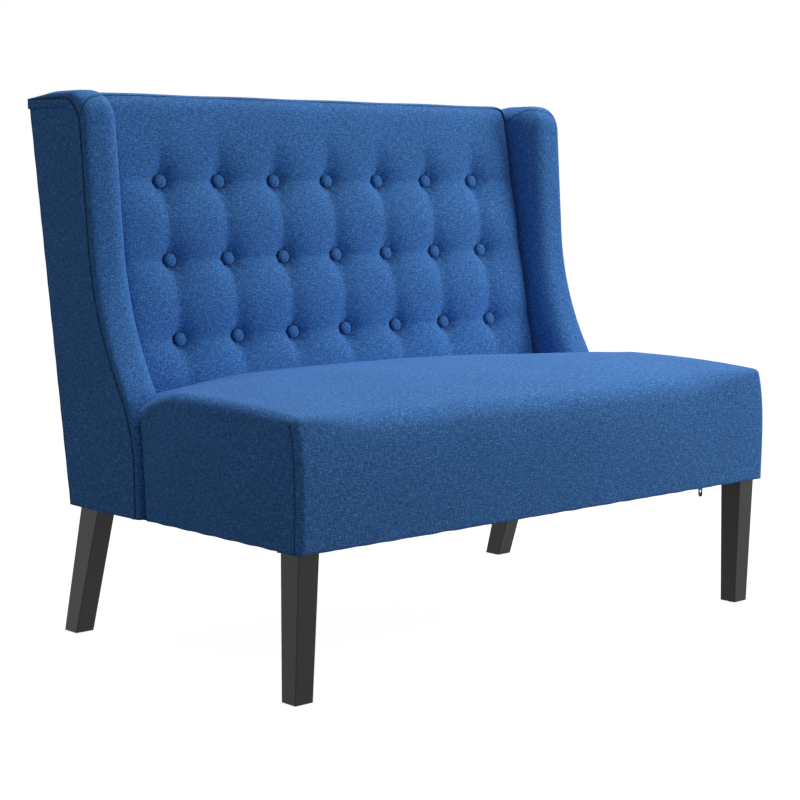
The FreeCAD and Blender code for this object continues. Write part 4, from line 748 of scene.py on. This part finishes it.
rim = FRONT_COUNT + ARC_COUNT
inner_front = band[:rim, 0]
steps = (band[rim - 1:, 0, 1] - band[rim - 1, 0, 1]) / (band[-1, 0, 1] - band[rim - 1, 0, 1])
depth_y = rear_y(inner_front[:, 2], 12.0) - inner_front[:, 1]
face = inner_front[:, None] + np.stack([np.zeros((rim, len(steps))), depth_y[:, None] * steps[None, :],
                                        np.zeros((rim, len(steps)))], axis=-1)
face_kept = face[:-1, :-1, 2] > 405
inner_patch = (splayed(face), np.zeros(face.shape[:2]), face_kept)
sewn("wing_cover_sewn_right", [band_patch, inner_patch], (560, 330, 700),
     replaces=("wing_cover_right", "wing_foam_right"))
sewn("wing_cover_sewn_left", other_side([band_patch, inner_patch]), (-560, 330, 700),
     replaces=("wing_cover_left", "wing_foam_left"))

# The outer panel: flat cloth over thin wadding, rounded into the seam, that ends at the hem
gap = 0.7


def seam_parallel(inset):
    """The seam's own line moved in from the wing's edge by the gap and an inset."""
    top = BACK_TOP - gap - inset
    return wing_edge(SEAM_BACK + gap + inset, top, top, SEAM_CORNER)


rim_line = seam_parallel(0)
front_line = rim_line[:rim]
steps = (rim_line[rim - 1:, 0] - rim_line[rim - 1, 0]) / (rim_line[-1, 0] - rim_line[rim - 1, 0])
depth_y = rear_y(front_line[:, 1], 3.0) - front_line[:, 0]
panel_y = front_line[:, :1] + depth_y[:, None] * steps[None, :]
panel_z = np.repeat(front_line[:, 1:], len(steps), axis=1)
to_front = panel_y - front_line[:, :1]
to_top = BACK_TOP - gap - panel_z
to_rear = rear_y(panel_z, 3.0) - panel_y
edge_gap = np.minimum(np.minimum(to_front + 0.01, to_top + 0.01), to_rear + 0.01)
panel_x = 582.2 - 1.6 * np.exp(-edge_gap / 1.6) + 0.9 * smooth_step(8, 70, edge_gap)
panel = np.stack([panel_x, panel_y, panel_z], axis=-1)
# Painted shade where the panel rounds into the seam
panel_painted_shade = 0.7 * np.exp(-edge_gap / 1.2)
side_patch = (splayed(panel), panel_painted_shade, None)
sewn("wing_outer_panel_right", [side_patch], (400, 250, 600),
     replaces=("wing_side_cover_right",))
sewn("wing_outer_panel_left", other_side([side_patch]), (-400, 250, 600),
     replaces=("wing_side_cover_left",))

# The double-stitched seam: a flat welt beside the seam, 6 mm wide, from hem to top rear
# It is drawn 1.5 times as wide up the front, and 2.6 times over the top, as the photo shows it.
wider = smooth_step(FRONT_COUNT - 6, FRONT_COUNT + ARC_COUNT + 4, np.arange(len(nose)))[:, None]
WELT_ACROSS = (0.2, 0.9, 2.4, 4.2, 5.6, 6.2)
WELT_RISE = (0.3, 1.5, 1.9, 1.9, 1.5, 0.3)
# Painted shade at the welt's two stitched edges
WELT_SHADE = (0.9, 0.2, 0.0, 0.0, 0.2, 0.8)
lines = [seam_parallel(1.5 * across) * (1 - wider) + seam_parallel(2.6 * across) * wider
         for across in WELT_ACROSS]
welt = np.stack([np.concatenate([np.full((len(line), 1), WING_OUTER + height), line], axis=1)
                 for line, height in zip(lines, WELT_RISE)], axis=1)
welt_patch = (splayed(welt), np.broadcast_to(np.array(WELT_SHADE)[None, :], welt.shape[:2]), None)
sewn("wing_seam_welt_right", [welt_patch], (400, 250, 600), thickness=0.9,
     replaces=("wing_welt_right",))
sewn("wing_seam_welt_left", other_side([welt_patch]), (-400, 250, 600), thickness=0.9,
     replaces=("wing_welt_left",))

# Outer back
# One plain panel over card, from wing to wing, hand-sewn at its sides with a slight pucker. Its
# edges curve inward, and it ends at the hem.
z_rows = np.linspace(HEM, BACK_TOP, 120)
outer_half = WING_OUTER + (z_rows - HEM) * FLARE / FLARE_HEIGHT
panel_x = outer_half[:, None] * np.linspace(-1, 1, 160)[None, :]
panel_z = np.broadcast_to(z_rows[:, None], panel_x.shape)
to_side = outer_half[:, None] - np.abs(panel_x)
edge_gap = np.minimum(np.minimum(to_side, BACK_TOP - panel_z), panel_z - HEM)
pucker = 0.35 * np.sin(panel_z / 9.0) * np.exp(-to_side / 12)
panel_y = rear_y(panel_z) - 2.2 * np.exp(-edge_gap / 2.5) + pucker
outer_back = np.stack([panel_x, panel_y, panel_z], axis=-1)
# Painted shade along the panel's sewn edges
sewn("outer_back_panel", [(outer_back, 0.6 * np.exp(-edge_gap / 1.5), None)], (0, 0, 600),
     thickness=2.0, replaces=("outer_back_cover",))

# Dust cover
# Black spunbond cloth stapled under the rails, cut out round the legs and slit for its zip. It
# hangs a few millimetres between the rails behind the zip.
INSET, SAG = 12, 4.5
DUST_HALF, DUST_LOW = WING_OUTER - INSET, HEM - 0.95
DUST_FRONT, DUST_REAR = FRONT + INSET, rear_y(HEM) - INSET
# Openings: nearest and farthest x, front and rear y of the legs on one side; the zip's slot
LEG_HOLES = ((521.0, 567.0, -353.5, -303.5), (517.9, 559.5, rear_y(HEM) - 57.0, DUST_REAR + 1))
SLOT_HALF, SLOT_Y = (488.0, 4.2), -300.0
ZIP_REAR = -280
leg_sides = [side * edge for hole in LEG_HOLES for edge in hole[:2] for side in (-1, 1)]
cut_x = np.unique(np.concatenate([np.linspace(-DUST_HALF, DUST_HALF, 97), leg_sides,
                                  [-SLOT_HALF[0], SLOT_HALF[0]]]))
cut_y = np.unique(np.concatenate([
    np.linspace(DUST_FRONT, DUST_REAR, 53), [SLOT_Y - SLOT_HALF[1], SLOT_Y + SLOT_HALF[1]],
    [edge for hole in LEG_HOLES for edge in hole[2:] if edge < DUST_REAR]]))
dust_x, dust_y = np.meshgrid(cut_x, cut_y)
behind_zip = np.clip((dust_y - ZIP_REAR) / (DUST_REAR - ZIP_REAR), 0, 1)
sag = SAG * np.abs(np.sin(np.pi * dust_x / DUST_HALF)) * np.sin(np.pi * behind_zip)
middle_x = np.abs(dust_x[:-1, :-1] + dust_x[:-1, 1:]) / 2
middle_y = (dust_y[:-1, :-1] + dust_y[1:, :-1]) / 2
cut_out = (middle_x < SLOT_HALF[0]) & (np.abs(middle_y - SLOT_Y) < SLOT_HALF[1])
for near, far, low, high in LEG_HOLES:
    cut_out |= (middle_x > near) & (middle_x < far) & (middle_y > low) & (middle_y < high)
dust_patch = (np.stack([dust_x, dust_y, DUST_LOW - sag], axis=-1), np.zeros(dust_x.shape), ~cut_out)
dust_sheet = sewn("dust_cover_cloth", [dust_patch], (0, -50, 400), thickness=0.8,
                  replaces=("dust_cover",), cloth=finishes["black_lining_cloth"])
